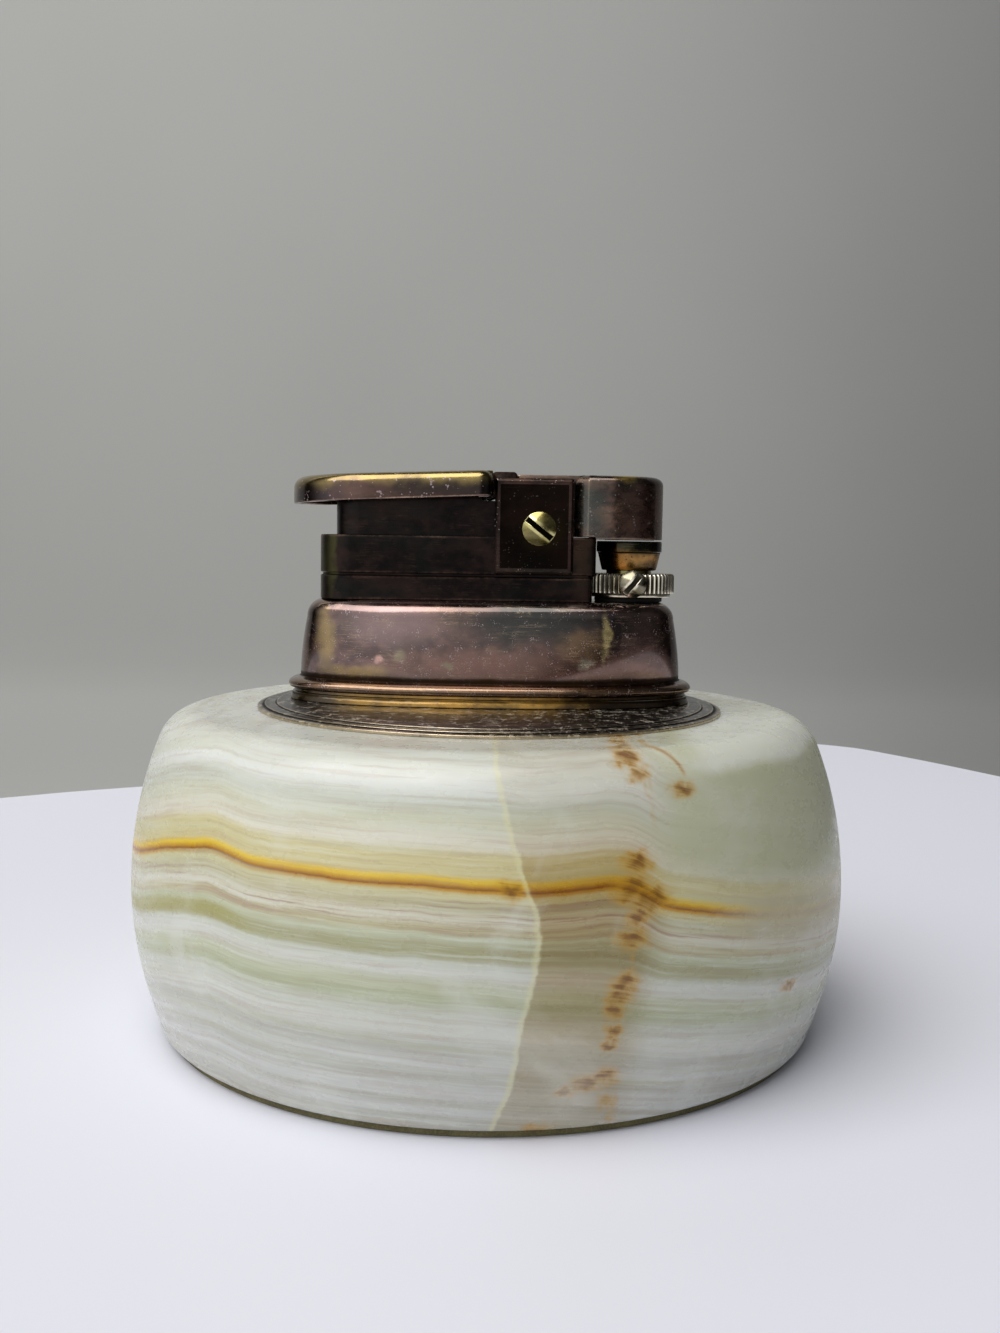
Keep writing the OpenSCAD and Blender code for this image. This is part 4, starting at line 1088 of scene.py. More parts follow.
ONYX = Onyx("onyx")
FELT = Dull("felt", dark="565135", light="7d7650", grain=4.0, rough=0.9, relief=0.15)
RUBBER = Dull("rubber", dark="171513", light="2b2723")
PAD_COPPER = Metal(
    "pad copper", "aged_copper", dark="2d2020", light="64463b", stain="4a3a24", worn="c0a088", rub=0.45,
    rough=(0.14, 0.26), spots=0.45, spot_scale=2.6, scratch=0.4, spot="b9a3a6", lacquer=0.28, dust=0.35,
    glazes=(
        Glaze(-24.0, 72.5, 6.0, 6.0, "3c3034", 0.6),
        Glaze(-8.0, 72.0, 8.0, 3.0, "58352a", 0.6),
        Glaze(-6.5, 74.4, 9.0, 1.7, "33221a", 0.75),
        Glaze(-10.0, 77.2, 22.0, 2.9, "a38c4c", 0.9),
        Glaze(-25.0, 76.2, 9.0, 2.6, "968046", 0.85)))
HOOD_COPPER = Metal(
    "hood copper", "aged_copper", dark="4c3a33", light="92715f", stain="3d4038", worn="a98f58", rub=0.4,
    spots=0.34, spot_scale=2.2, scratch=0.4, spot="8f8c86", lacquer=0.32, dust=0.3, glazes=(
        # The grey-green front and the warmer round end: partly tarnish, partly painted shading where the face
        # turns
        Glaze(13.5, 72.0, 3.6, 6.0, "50564f", 0.75),
        Glaze(21.0, 72.0, 5.0, 6.0, "7a5648", 0.7),
        # Painted highlight on top of the round end
        Glaze(18.3, 77.2, 3.2, 1.9, "dcbc69", 0.95)))
DARK_COPPER = Metal(
    "dark copper", "aged_copper", dark="110d0c", light="2e211d", stain="181c19", worn="8d6c5c",
    rough=(0.24, 0.4), rub=0.4, scratch=0.35, lacquer=0.05, glazes=(
        # Painted reflections on the round left corner: a brown stripe at its rim and an olive band beside it
        Glaze(-24.3, 66.0, 1.3, 9.0, "7a5442", 0.75),
        Glaze(-22.3, 66.0, 1.3, 9.0, "4d4a2b", 0.75),
        Glaze(12.5, 66.0, 2.0, 9.0, "4a3729", 0.5)))
CHEEK_COPPER = Metal(
    "cheek copper", "aged_copper", dark="251c1a", light="4d3931", stain="1e2822", worn="8a6a5b",
    rough=(0.24, 0.4), rub=0.32, spots=0.3, spot_scale=2.6, scratch=0.5, dust=0.4, lacquer=0.08, glazes=(
        Glaze(7.2, 68.8, 3.9, 3.6, "5a4826", 0.8),
        Glaze(9.5, 65.5, 3.0, 2.6, "4a2f2b", 0.5)))
ROSE_COPPER = Metal(
    "rose copper", "aged_copper", dark="503a35", light="85655a", stain="4b4036", worn="cbb08a",
    rough=(0.14, 0.28), stained=0.5, rub=0.4, spots=0.42, spot_scale=4.2, spot="b8a5a8", scratch=0.9,
    lacquer=0.42, dust=0.25, glazes=(
        # Painted reflections of the room: the pale field at the left, the dark band across the middle and the
        # dark patch at the upper right
        Glaze(-13.0, 56.5, 10.0, 5.0, "9a7e7c", 0.6),
        Glaze(5.5, 56.6, 15.0, 4.4, "1d221c", 0.9),
        Glaze(17.5, 56.5, 4.5, 4.5, "30242a", 0.7),
        # Painted reflection of the table: the rose field low down
        Glaze(4.0, 50.4, 24.0, 3.6, "8f6556", 0.75),
        # Painted highlight: the golden band down the left corner, bending along the foot
        Glaze(-22.9, 54.5, 1.9, 6.5, "b0935a", 0.7),
        Glaze(-18.0, 49.6, 6.0, 1.6, "b0935a", 0.6),
        Glaze(-2.0, 47.6, 60.0, 1.5, "84603a", 0.7),
        Glaze(12.8, 53.4, 4.6, 3.0, "a8845e", 0.75),
        # Painted reflection: the narrow bright streak
        Glaze(15.6, 54.6, 0.85, 3.8, "f6dc98", 1.0),
        Glaze(13.0, 51.2, 1.4, 0.9, "d9c8ac", 0.9),
        Glaze(-15.5, 51.4, 1.0, 0.7, "d9a99c", 0.8),
        Glaze(-12.5, 52.0, 1.6, 1.3, "8f8468", 0.7),
        Glaze(-6.0, 50.4, 1.4, 0.8, "8f8468", 0.7)))
GILT = Metal(
    "gilt band", "aged_copper", dark="6b4c1c", light="c4943c", stain="3d3517", worn="f0cd7a",
    rough=(0.16, 0.28), rub=0.3, scratch=0.7, glazes=(
        # Painted reflection: both ends darkened, so that the gold shows in the middle only
        Glaze(-26.0, 45.8, 9.0, 9.0, "2c2619", 0.85),
        Glaze(22.0, 45.8, 15.0, 9.0, "2a2016", 0.85)))
PLATED = Metal(
    "speckled_flange", dark="2b2827", light="454040", stain="33383a", spot="c2b6a5", spots=0.85,
    spot_scale=5.0, rough=(0.26, 0.42), worn="c4b294", rub=0.7, scratch=0.3, dust=0.75)
BRASS = Metal(
    "bright_brass", dark="685c2c", light="a89a54", stain="5a5528", worn="cfc384", spot="54482a",
    spots=0.2, rough=(0.18, 0.32), stained=0.4, grime_and_shade_amount=1.0)
CUP = Metal(
    "cup brass", "bright_brass", dark="7a5524", light="b8894a", stain="3d3a22", worn="e8cf8c",
    spot="3f3524", spots=0.35, rough=(0.18, 0.32), rub=0.3, lacquer=0.1, glazes=(
        # Painted shadow of the hood on the band, olive at the left and dark green at the right
        Glaze(17.0, 67.5, 14.0, 2.3, "2f2a14", 1.0),
        Glaze(23.5, 67.5, 6.0, 2.4, "142018", 1.0),
        # Painted reflection: an orange glow on the cone's left
        Glaze(17.5, 64.6, 2.6, 2.4, "b06a1e", 0.6),
        Glaze(22.8, 64.0, 2.4, 1.4, "30201a", 0.7)))
NICKEL = Metal(
    "nickel_brass", dark="6d6048", light="b5aa8c", stain="565540", worn="ece3cc", spot="4f4230",
    spots=0.25, rough=(0.16, 0.3), rub=0.8)
STEEL = Metal(
    "steel", dark="6d6e70", light="97989a", stain="5d5a55", worn="d8d8d6", spot="5b4636",
    spots=0.2, rough=(0.24, 0.4))
HARD_STEEL = Metal(
    "hard_steel", dark="3f4042", light="66676a", stain="3c3935", worn="c9c9c8", spot="4a372a",
    spots=0.3, rough=(0.3, 0.46))
SPRING = Metal(
    "spring_steel", dark="5e5f61", light="8c8d90", stain="4c4a47", worn="d0d0ce", spot="4a4037",
    spots=0.15, rough=(0.22, 0.36))


def fit(obj: bpy.types.Object, finish: Finish, body: str, *nodes: str) -> bpy.types.Object:
    """Dresses a new piece and ties it to the frame.

    Args:
        obj: the piece.
        finish: its finish.
        body: the body that it moves with.
        nodes: the CAD nodes that it stands for.

    Returns:
        The piece.
    """
    obj.data.materials.append(finish.material())
    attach(obj, body)
    if nodes:
        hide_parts(*nodes)
    LOG.info("%s rides on %s and stands for %s", obj.name, body, ", ".join(nodes) or "nothing")
    return obj


# ---------------------------------------------------------------- sub-assemblies

@dataclass
class Base:
    """Turned onyx body, its felt and the sleeve in its bore."""

    radius: float = 50.0
    foot_z: float = 1.0
    top_z: float = 43.9
    belly: float = 19.0
    foot_draw: float = 3.9
    crown_draw: float = 5.4
    shoulder: float = 5.5
    foot_edge: float = 1.0
    bore: float = 25.9
    floor_z: float = 9.4
    sleeve: float = 25.4
    lip: float = 27.5

    def side(self, h: Array) -> Array:
        """Radius of the side: a power curve below the belly and one above it.

        It is R - f ((b - h) / b)^1.9 below the belly's height b and R - c ((h - b) / (t - b))^2.1 above it,
        with f and c how far the foot and the crown draw in, and t the stone's height.

        Args:
            h: heights above the foot.

        Returns:
            The radii.
        """
        low = np.clip((self.belly - h) / self.belly, 0, 1) ** 1.9
        high = np.clip((h - self.belly) / (self.top_z - self.foot_z - self.belly), 0, 1) ** 2.1
        return self.radius - self.foot_draw * low - self.crown_draw * high

    def profile(self) -> Array:
        """Outline of the stone from its underside, round the side and shoulder, down into the bore.

        The shoulder is an arc that starts where the side leans in by the angle atan of its slope.

        Returns:
            Points (radius, height).
        """
        tall = self.top_z - self.foot_z
        span = tall - self.belly
        k = (tall - 0.65 * self.shoulder - self.belly) / span
        lean = math.atan(self.crown_draw * 2.1 / span * k ** 1.1)
        top = tall - self.shoulder * (1 - math.sin(lean))
        h = np.linspace(self.foot_edge, top, 64)
        side = np.stack([self.side(h), h + self.foot_z], 1)
        middle = float(self.side(np.array([top]))[0]) - self.shoulder * math.cos(lean)
        crown = arc(middle, self.top_z - self.shoulder, self.shoulder, math.degrees(lean) + 2, 90, 20)
        foot_r = float(self.side(np.array([self.foot_edge]))[0]) - self.foot_edge
        foot = arc(foot_r, self.foot_z + self.foot_edge, self.foot_edge, -90, -8, 6)
        bore = rounded([(self.bore + 3, self.top_z), (self.bore, self.top_z), (self.bore, self.floor_z),
                        (0, self.floor_z)], [0, 0.3, 0.8, 0], closed=False)
        return np.concatenate([[[0, self.foot_z]], foot, side, crown, bore])

    def build(self) -> None:
        """Makes the stone, the felt and the sleeve."""
        stone = Surface().turned(self.profile(), sides=256).piece("stone_body", 40)
        fit(stone, ONYX, "base", "stone_base")
        r = float(self.side(np.array([0.0]))[0]) - 0.8
        felt = rounded([(0, 0), (r, 0), (r, self.foot_z), (0, self.foot_z)], [0, 0.3, 0.2, 0], closed=False)
        fit(Surface().turned(felt, sides=160).piece("felt_disc"), FELT, "base", "felt_pad")
        lip = self.top_z
        liner = rounded([(self.sleeve, self.floor_z), (self.bore, self.floor_z), (self.bore, lip),
                         (self.lip, lip), (self.lip, lip + 0.2), (self.sleeve, lip + 0.2)],
                        [0.1, 0.1, 0, 0.08, 0.08, 0.15])
        fit(Surface().turned(liner, sides=128, hollow=True).piece("bore_sleeve"), BRASS, "base", "bore_liner")


@dataclass
class Collar:
    """Round flange, plain oval ring and the leaning oval collar with its bead.

    `steps` are the flange's fine steps, as pairs (distance from its rim, depth).
    """

    flange_r: float = 32.85
    rim_z: float = 43.9
    flat_r: float = 28.4
    seat_z: float = 45.0
    foot_z: float = 46.2
    band: float = 1.65
    top_z: float = 59.3
    half_l: float = 28.7
    half_w: float = 12.8
    overhang: float = 1.7
    lean: float = 1.1
    shoulder: float = 2.5
    wall: float = 0.8
    powers: tuple = (2.4, 3.8)
    steps: tuple = ((0.95, 0.14), (2.6, 0.16))
    slope: float = 0.5

    def ring(self, d: float, z: float) -> Array:
        """Superellipse drawn in by d at height z; its power grows evenly from 2 mm above the foot to the top.

        Args:
            d: how far it lies inside the bead's outline.
            z: its height.

        Returns:
            Points in space.
        """
        up = min(max((z - self.foot_z - 2) / (self.top_z - self.foot_z - 2), 0), 1)
        power = self.powers[0] + (self.powers[1] - self.powers[0]) * up
        p = oval(self.half_l - d, self.half_w - d, power)
        return np.concatenate([p, np.full((len(p), 1), z)], 1)

    def side(self, z: float) -> float:
        """How far the bowed side lies inside the bead at a height."""
        foot, top = self.foot_z + 2.1, self.top_z - self.shoulder
        return self.overhang + self.lean * ((z - foot) / (top - foot)) ** 1.6

    def build(self) -> None:
        """Makes the flange, the seat ring and the collar."""
        low = self.seat_z - 0.8
        outline = [(0, low), (self.flat_r - 0.4, low), (self.flange_r - 1.4, self.rim_z),
                   (self.flange_r, self.rim_z), (self.flange_r, self.rim_z + 0.42)]
        for inset, drop in self.steps:
            r = self.flange_r - inset
            z = self.seat_z - self.slope * (r - self.flat_r) / (self.flange_r - self.flat_r)
            outline += [(r, z - drop), (r - 0.06, z)]
        outline += [(self.flat_r, self.seat_z), (0, self.seat_z)]
        flange = rounded(outline, [0, 0.3, 0.1, 0.12, 0.12, 0.03, 0.04, 0.03, 0.04, 0.5, 0], closed=False)
        fit(Surface().turned(flange, sides=256).piece("flange_disc"), PLATED, "insert", "flange_plate")
        low, rise = self.seat_z, self.band - 0.14
        rows = [(1.5, low), (0.36, low), (0.26, low + 0.1), (0.26, low + 0.25), (0.5, low + 0.8),
                (0.62, low + 0.95), (0.62, low + 1.1), (0.78, low + 1.2), (0.8, low + rise),
                (0.95, low + self.band), (1.5, low + self.band)]
        grid = np.stack([self.ring(d, z) for d, z in rows], 1)
        fit(Surface().grid(grid, round_j=True).piece("seat_band"), GILT, "insert", "seat_ring")
        z0 = self.seat_z + self.band
        bead = flowing([(0.5, z0), (0.14, z0 + 0.16), (0.0, z0 + 0.55), (0.16, z0 + 0.95), (0.6, z0 + 1.25),
                        (1.25, z0 + 1.45), (self.overhang, z0 + 1.65)], 4)
        heights = np.linspace(self.foot_z + 2.1, self.top_z - self.shoulder, 15)[1:-1]
        side = [(self.side(z), z) for z in heights]
        inset = self.overhang + self.lean
        turn = np.radians(np.linspace(0, 90, 13))
        crown = [(inset + self.shoulder * (1 - math.cos(a)), self.top_z - self.shoulder * (1 - math.sin(a)))
                 for a in turn]
        outer = [*bead, *side, *crown, (inset + self.shoulder + 0.1, self.top_z)]
        t = self.wall
        inner = [(inset + self.shoulder + 0.1, self.top_z - t), (inset + t, self.top_z - self.shoulder - 0.3),
                 (self.side((z0 + self.top_z) / 2) + t, (z0 + self.top_z) / 2), (self.overhang + t, z0 + 1.6),
                 (1.5, z0)]
        shell = Surface()
        shell.grid(np.stack([self.ring(d, z) for d, z in outer], 1), cap_end=True)
        shell.grid(np.stack([self.ring(d, z) for d, z in [*inner, outer[0]]], 1), cap_start=True)
        fit(shell.piece("collar_shell"), ROSE_COPPER, "insert", "collar")


@dataclass
class Chassis:
    """Rectangular chassis on the collar: plate, block with its ears, cheeks and the axle's screw.

    `axle` is (x, z), `cheek` its limits (x0, x1, z0, z1), and `ear` the corners (x, z) of an ear.
    """

    x0: float = -23.9
    x1: float = 14.0
    half: float = 7.2
    end_r: float = 4.3
    nose_r: float = 0.6
    reach: float = 0.45
    low_z: float = 59.3
    line_z: float = 62.6
    plate_z: float = 62.95
    top_z: float = 68.2
    pocket_z: float = 60.9
    burner_x: float = 19.6
    recess: float = 6.75
    axle: tuple = (6.55, 69.3)
    cheek: tuple = (0.45, 11.25, 63.05, 76.15)
    cheek_y: float = 0.8
    cheek_bevel: float = 0.36
    ear: tuple = ((0.8, 67.9), (11.0, 67.9), (11.0, 75.6), (3.5, 75.6), (3.5, 77.0), (0.0, 77.0), (0.0, 74.0),
                  (0.8, 74.0))
    ear_radii: tuple = (0.1, 0.1, 0.3, 0.15, 0.6, 0.6, 0.2, 0.1)
    ear_y: tuple = (6.12, 7.18)
    peg_x: float = -11.5
    peg_r: float = 1.5
    shank_r: float = 1.25

    def outline(self, reach: float) -> Array:
        """Plan of the chassis: round corners at the lever's end, and a hollow arc for the ring at the other.

        Args:
            reach: how far the burner's end lies beyond x1.

        Returns:
            Points (x, y), counter-clockwise.
        """
        end = self.x1 + reach
        dip = math.sqrt(self.recess ** 2 - (self.burner_x - end) ** 2)
        angle = math.degrees(math.asin(dip / self.recess))
        hollow = arc(self.burner_x, 0, self.recess, 180 + angle, 180 - angle, 12)
        box = rounded([(self.x0, self.half), (self.x0, -self.half), (end, -self.half), (end, -dip)],
                      [0, self.end_r, self.nose_r, 0], 8, closed=False)
        low = box[1:-1]
        return held(np.concatenate([low, hollow, low[::-1] * [1, -1]]))

    def pocket(self, p: Array, limit: float) -> Array:
        """Outline of the lever's pocket: the drawn-in outline, cut off at x = limit."""
        return np.stack([np.minimum(p[:, 0], limit), p[:, 1]], 1)

    def shell(self, rows: Sequence[tuple], inner: Sequence[tuple], limit: float, caps: tuple,
              reach: float = 0.0) -> Surface:
        """Wall of the chassis with a pocket in its top.

        Args:
            rows: pairs (inset, height) up the outside.
            inner: pairs (inset, height) down the inside.
            limit: greatest x of the pocket.
            caps: whether the underside and the pocket's floor are closed.
            reach: how far the burner's end lies beyond x1.

        Returns:
            The surface.
        """
        line = self.outline(reach)
        outer = [(drawn_in(line, d), z) for d, z in held(rows, closed=False)]
        hollow = [(self.pocket(drawn_in(line, d), limit), z) for d, z in inner]
        grid = [np.concatenate([p, np.full((len(p), 1), z)], 1) for p, z in outer + hollow]
        return Surface().grid(np.stack(grid, 1), round_j=not caps[0], cap_start=caps[0], cap_end=caps[1])

    def build(self) -> None:
        """Makes the plate, the block, the cheeks and the axle's screw."""
        outside = [(0.1, self.low_z), (0, self.low_z + 0.1), (0, self.line_z - 0.1), (0.1, self.line_z),
                   (0.3, self.line_z), (0.3, self.plate_z)]
        plate = self.shell(outside, [(1.1, self.plate_z), (1.1, self.pocket_z)], -0.8, (True, True))
        low, high = self.pocket_z - 0.2, self.pocket_z + 2.5
        peg = rounded([(0, low), (self.peg_r, low), (self.peg_r, high), (0, high)], [0, 0, 0.4, 0],
                      closed=False)
        plate.turned(peg, (self.peg_x, 0), 48)
        fit(plate.piece("chassis_plate"), DARK_COPPER, "insert", "frame_plate")
        top = self.top_z
        outside = [(0.12, self.plate_z), (0, self.plate_z + 0.12), (0, top - 0.22), (0.06, top - 0.07),
                   (0.22, top)]
        inside = [(1.0, top), (1.1, top - 0.1), (1.1, self.plate_z)]
        block = self.shell(outside, inside, 12.0, (False, False), self.reach)
        ear = rounded(self.ear, self.ear_radii, 5)
        for side in (-1, 1):
            block.slab(ear, side * self.ear_y[0], side * self.ear_y[1], 0.12, Plane.FRONT, rings=False)
        fit(block.piece("chassis_block"), DARK_COPPER, "insert", "frame_block")
        x0, x1, z0, z1 = self.cheek
        plan = held(rounded([(x0, z0), (x1, z0), (x1, z1), (x0, z1)], 0.35))
        b = self.cheek_bevel
        for side, name in ((-1, "front"), (1, "rear")):
            y0, y1 = side * self.half, side * (self.half + self.cheek_y)
            rows = [(0.06, y0), (0, y0 + side * 0.06), (0, y1 - side * b), (0.04, y1 - side * b * 0.86),
                    (b * 0.86, y1 - side * 0.04), (b, y1)]
            cheek = Surface().carried(plan, rows, Plane.FRONT)
            fit(cheek.piece(f"cheek_plate_{name}"), CHEEK_COPPER, "insert", f"{name}_cheek")
        end = self.half + self.cheek_y
        screw = slotted_screw((self.axle[0], -end, self.axle[1]), 2.3, 0.9, -38.0)
        shank = rounded([(0, -end - 0.02), (self.shank_r, -end - 0.02), (self.shank_r, end), (0, end)],
                        [0, 0, 0.15, 0], closed=False)
        screw.turned(shank, self.axle, 48, Plane.FRONT)
        fit(screw.piece("axle_slotted_screw", 28), BRASS, "insert", "axle_screw")


def slotted_screw(foot: tuple, r: float, high: float, turn: float) -> Surface:
    """Domed screw head with a straight slot, facing -Y.

    A point is (x, v sqrt(r^2 - x^2)) for x across the slot and v from -1 to 1, at the height of a ball cap
    h(s) = high - s^2 high / r^2 of the distance s, less the slot's depth between its walls.

    Args:
        foot: middle of the head's back face.
        r: radius.
        high: height of the dome.
        turn: turn of the slot in degrees, seen from the front.

    Returns:
        The surface.
    """
    half, deep, lip = 0.36, 0.75, 0.05
    wing = np.sin(np.radians(np.linspace(90, 0, 13)))
    wing = half + lip + (r - half - lip) * wing[:-1]
    x = np.concatenate([-wing, [-half - lip, -half, -half + 0.01, half - 0.01, half, half + lip], wing[::-1]])
    cut = np.concatenate([np.zeros(len(wing)), [0, 0.08, 1, 1, 0.08, 0], np.zeros(len(wing))])
    v = np.sin(np.radians(np.linspace(-90, 90, 29)))
    y = v[None, :] * np.sqrt(np.maximum(r * r - x * x, 0))[:, None]
    s2 = x[:, None] ** 2 + y ** 2
    rim = 0.12
    dome = np.minimum(rim + (high - rim) * (1 - s2 / r ** 2), high)
    floor = np.minimum(dome, high - deep)
    top = np.where(cut[:, None] > 0.5, floor, dome - cut[:, None] * 0.4)
    back = np.zeros_like(y[:, ::-1])
    px = np.broadcast_to(x[:, None], y.shape)
    a = math.radians(turn)
    u = np.concatenate([px, px], 1)
    q = np.concatenate([y, y[:, ::-1]], 1)
    h = np.concatenate([top, back], 1)
    # The slot lies along the grid's y; turned by `turn` from level
    p = np.stack([foot[0] + q * math.cos(a) + u * math.sin(a), foot[1] - h,
                  foot[2] + q * math.sin(a) - u * math.cos(a)], -1)
    return Surface().grid(p, round_i=False, round_j=True)


@dataclass
class Lever:
    """Thumb pad on its channel."""

    x1: float = 0.25
    length: float = 28.25
    half: float = 11.5
    top_z: float = 77.1
    top_slope: float = 0.036
    rim: float = 3.5
    rim_slope: float = 0.043
    edge: float = 1.5
    wall: float = 0.8
    roof_z: float = 75.2
    notch: float = 1.9
    notch_y: float = 8.2

    def build(self) -> None:
        """Makes the pressed shell of the thumb pad."""
        x1, r, c = self.x1, self.half, self.edge + 0.3
        near = arc(x1 - c, c - r, c, -90, 0, 8)
        far = near[::-1] * [1, -1]
        gap = np.array([(x1, -self.notch_y), (x1 - self.notch, -self.notch_y), (x1 - self.notch, self.notch_y),
                        (x1, self.notch_y)])
        line = held(np.concatenate([arc(x1 - self.length + r, 0, r, 90, 270, 72), near, gap, far]))
        notched = (np.abs(line[:, 1]) < self.notch_y + 0.01) & (line[:, 0] > x1 - self.notch - 0.01)
        weight = np.where(notched, 0.15, 1.0)

        def high(p: Array) -> Array:
            """Height of the pad's sloping top at points of the plan."""
            return self.top_z + self.top_slope * (p[:, 0] - x1)

        def low(p: Array) -> Array:
            """Height of the pad's sloping rim at points of the plan."""
            return self.top_z - self.rim + self.rim_slope * (p[:, 0] - x1)

        turn = np.radians(np.linspace(0, 90, 11))
        crown = [(self.edge * (1 - math.cos(a)), lambda p, a=a: high(p) - self.edge * (1 - math.sin(a)))
                 for a in turn]
        rows = [(self.wall, self.roof_z), (self.wall, lambda p: low(p) + 0.12), (self.wall - 0.14, low),
                (0.14, low), (0.03, lambda p: low(p) + 0.05), (0.0, lambda p: low(p) + 0.17),
                (0.0, lambda p: low(p) + 0.45), (0.0, lambda p: low(p) + 0.75),
                (0.0, lambda p: high(p) - self.edge - 0.6), (0.0, lambda p: high(p) - self.edge - 0.3), *crown]
        pad = Surface().carried(line, rows, weight=weight, level=notched)
        fit(pad.piece("thumb_pad_shell"), PAD_COPPER, "lever", "thumb_pad")


@dataclass
class Hood:
    """Pressed hood over the burner with its tongue."""

    x0: float = 11.45
    x1: float = 24.2
    half: float = 8.0
    neck: float = 6.6
    bevel: float = 1.75
    low_z: float = 68.0
    clear_z: float = 68.3
    clear_x: float = 14.3
    top_z: float = 76.7
    roof: float = 1.0
    edge: float = 1.2
    wall: float = 0.9
    gap: float = 5.9
    tongue_x: float = 3.3

    def build(self) -> None:
        """Makes the hood: a deep cap carried round its plan, and the flat tongue behind its neck."""
        y, nx = self.half, self.x0 + self.bevel
        nose = arc(self.x1 - y, 0, y, -90, 90, 72)
        corner = rounded([(self.clear_x, y), (nx, y), (self.x0, self.neck), (self.x0, self.gap + 0.001)],
                         [0, 0.35, 0.3, 0], 5, closed=False)
        left = np.concatenate([[(self.clear_x + 0.002, y)], corner, [(self.x0, self.gap - 0.001)]])
        line = held(np.concatenate([nose, left, left[::-1] * [1, -1]]))
        inside = (np.abs(line[:, 1]) < self.gap) & (line[:, 0] < self.x0 + 0.01)
        foot = np.where(line[:, 0] > self.clear_x + 0.001, self.low_z, self.clear_z)
        foot = np.where(inside, self.top_z - self.roof, foot)

        def at(height: float) -> Callable[[Array], Array]:
            """Function for a row at a height, kept above the hood's lower edge."""
            return lambda p: np.maximum(foot, height)

        def up(rise: float) -> Callable[[Array], Array]:
            """Function for a row that follows the hood's lower edge at a rise above it."""
            return lambda p: foot + rise

        turn = np.radians(np.linspace(0, 90, 10))
        crown = [(self.edge * (1 - math.cos(a)), at(self.top_z - self.edge * (1 - math.sin(a)))) for a in turn]
        rows = [(self.wall, at(self.top_z - self.roof)), (self.wall, up(0.0)), (0.12, up(0.0)),
                (0.03, up(0.04)), (0.0, up(0.14)), (0.0, up(0.4)), (0.0, up(0.7)),
                (0.0, at(self.top_z - self.edge - 0.6)), (0.0, at(self.top_z - self.edge - 0.3)), *crown]
        hood = Surface().carried(line, rows)
        tongue = rounded([(self.tongue_x, -self.gap), (self.x0 + 1.4, -self.gap), (self.x0 + 1.4, self.gap),
                          (self.tongue_x, self.gap)], [0.5, 0, 0, 0.5])
        hood.slab(tongue, self.top_z - self.roof + 0.01, self.top_z - 0.01, 0.16)
        fit(hood.piece("hood_cap"), HOOD_COPPER, "hood", "hood")


@dataclass
class Burner:
    """Knurled ring with its screw, the cup, the jet and the washer under them.

    `cup` are pairs (radius, rise above cup_z), `jet_r` the radii of the jet's bore, stem, seat and tip, and
    `washer` its two radii and two heights.
    """

    x: float = 19.6
    low_z: float = 60.0
    radius: float = 6.45
    band: float = 2.8
    foot: float = 0.5
    flutes: int = 54
    flute: float = 0.3
    cup_z: float = 63.7
    cup: tuple = ((1.25, 0.0), (3.85, 0.0), (4.45, 2.55), (4.62, 2.62), (4.62, 4.1), (3.2, 4.1), (3.2, 1.6),
                  (2.6, 1.0), (1.25, 1.0))
    cup_radii: tuple = (0.05, 0.25, 0.05, 0.12, 0.18, 0.15, 0.2, 0.2, 0.05)
    jet_z: float = 50.5
    jet_r: tuple = (0.3, 1.2, 2.1, 0.9)
    washer: tuple = (3.2, 4.8, 59.3, 59.9)

    def fluted(self, a: Array, out: Array, h: Array) -> Array:
        """Change of the ring's radius, -d (0.5 - 0.5 cos n a)^0.7 for n flutes of depth d, on its band only.

        Args:
            a: angles round the ring.
            out: radii.
            h: heights.

        Returns:
            The changes.
        """
        wave = 0.5 - 0.5 * np.cos(a * self.flutes)
        full = np.clip((out - (self.radius - 0.5)) / 0.25, 0, 1)
        return -self.flute * wave ** 0.7 * full * (h > self.low_z + self.foot - 0.01)

    def build(self) -> None:
        """Makes the ring, its screw, the cup, the jet and the washer."""
        z, r = self.low_z, self.radius
        top = z + self.foot + self.band
        outline = [(3.25, z), (r - 0.5, z), (r - 0.5, z + self.foot), (r, z + self.foot), (r, top), (3.25, top)]
        ring = rounded(outline, [0.1, 0.12, 0.05, 0.15, 0.45, 0.2], 4)
        on_band = [(z + self.foot + 0.05 + t * (self.band - 0.5)) for t in (0.3, 0.6)]
        at = int(np.argmax(ring[:, 0] > r - 0.01)) + 1
        ring = np.concatenate([ring[:at], [(r, h) for h in on_band], ring[at:]])

        band = Surface().turned(ring, (self.x, 0), self.flutes * 10, hollow=True, depth=self.fluted)
        fit(band.piece("flame_ring", 50), NICKEL, "ring", "adjusting_ring")
        zs = z + self.foot + self.band / 2
        screw = slotted_screw((self.x, -r, zs), 1.9, 1.1, 50.0)
        screw.turned(rounded([(0, -r - 0.02), (0.8, -r - 0.02), (0.8, -3.5), (0, -3.5)], 0, closed=False),
                     (self.x, zs), 40, Plane.FRONT)
        fit(screw.piece("ring_slotted_screw", 28), NICKEL, "ring", "ring_screw")
        c = self.cup_z
        cup = rounded([(out, c + rise) for out, rise in self.cup], self.cup_radii)
        fit(Surface().turned(cup, (self.x, 0), 96, hollow=True).piece("flame_cup"), CUP, "insert", "burner_cup")
        gas, stem, seat, tip = self.jet_r
        jet = rounded([(gas, self.jet_z), (stem, self.jet_z), (stem, c - 1.7), (seat, c - 1.7), (seat, c - 0.9),
                       (stem, c - 0.9), (stem, c + 2.4), (tip, c + 2.7), (tip, c + 3.6), (gas, c + 3.6)],
                      [0.05, 0.1, 0.05, 0.1, 0.1, 0.05, 0.1, 0.1, 0.15, 0.05])
        fit(Surface().turned(jet, (self.x, 0), 48, hollow=True).piece("gas_jet"), BRASS, "jet", "burner_jet")
        r0, r1, z0, z1 = self.washer
        washer = rounded([(r0, z0), (r1, z0), (r1, z1), (r0, z1)], 0.15)
        washer = Surface().turned(washer, (self.x, 0), 72, hollow=True).piece("ring_washer")
        fit(washer, RUBBER, "insert", "valve_washer")


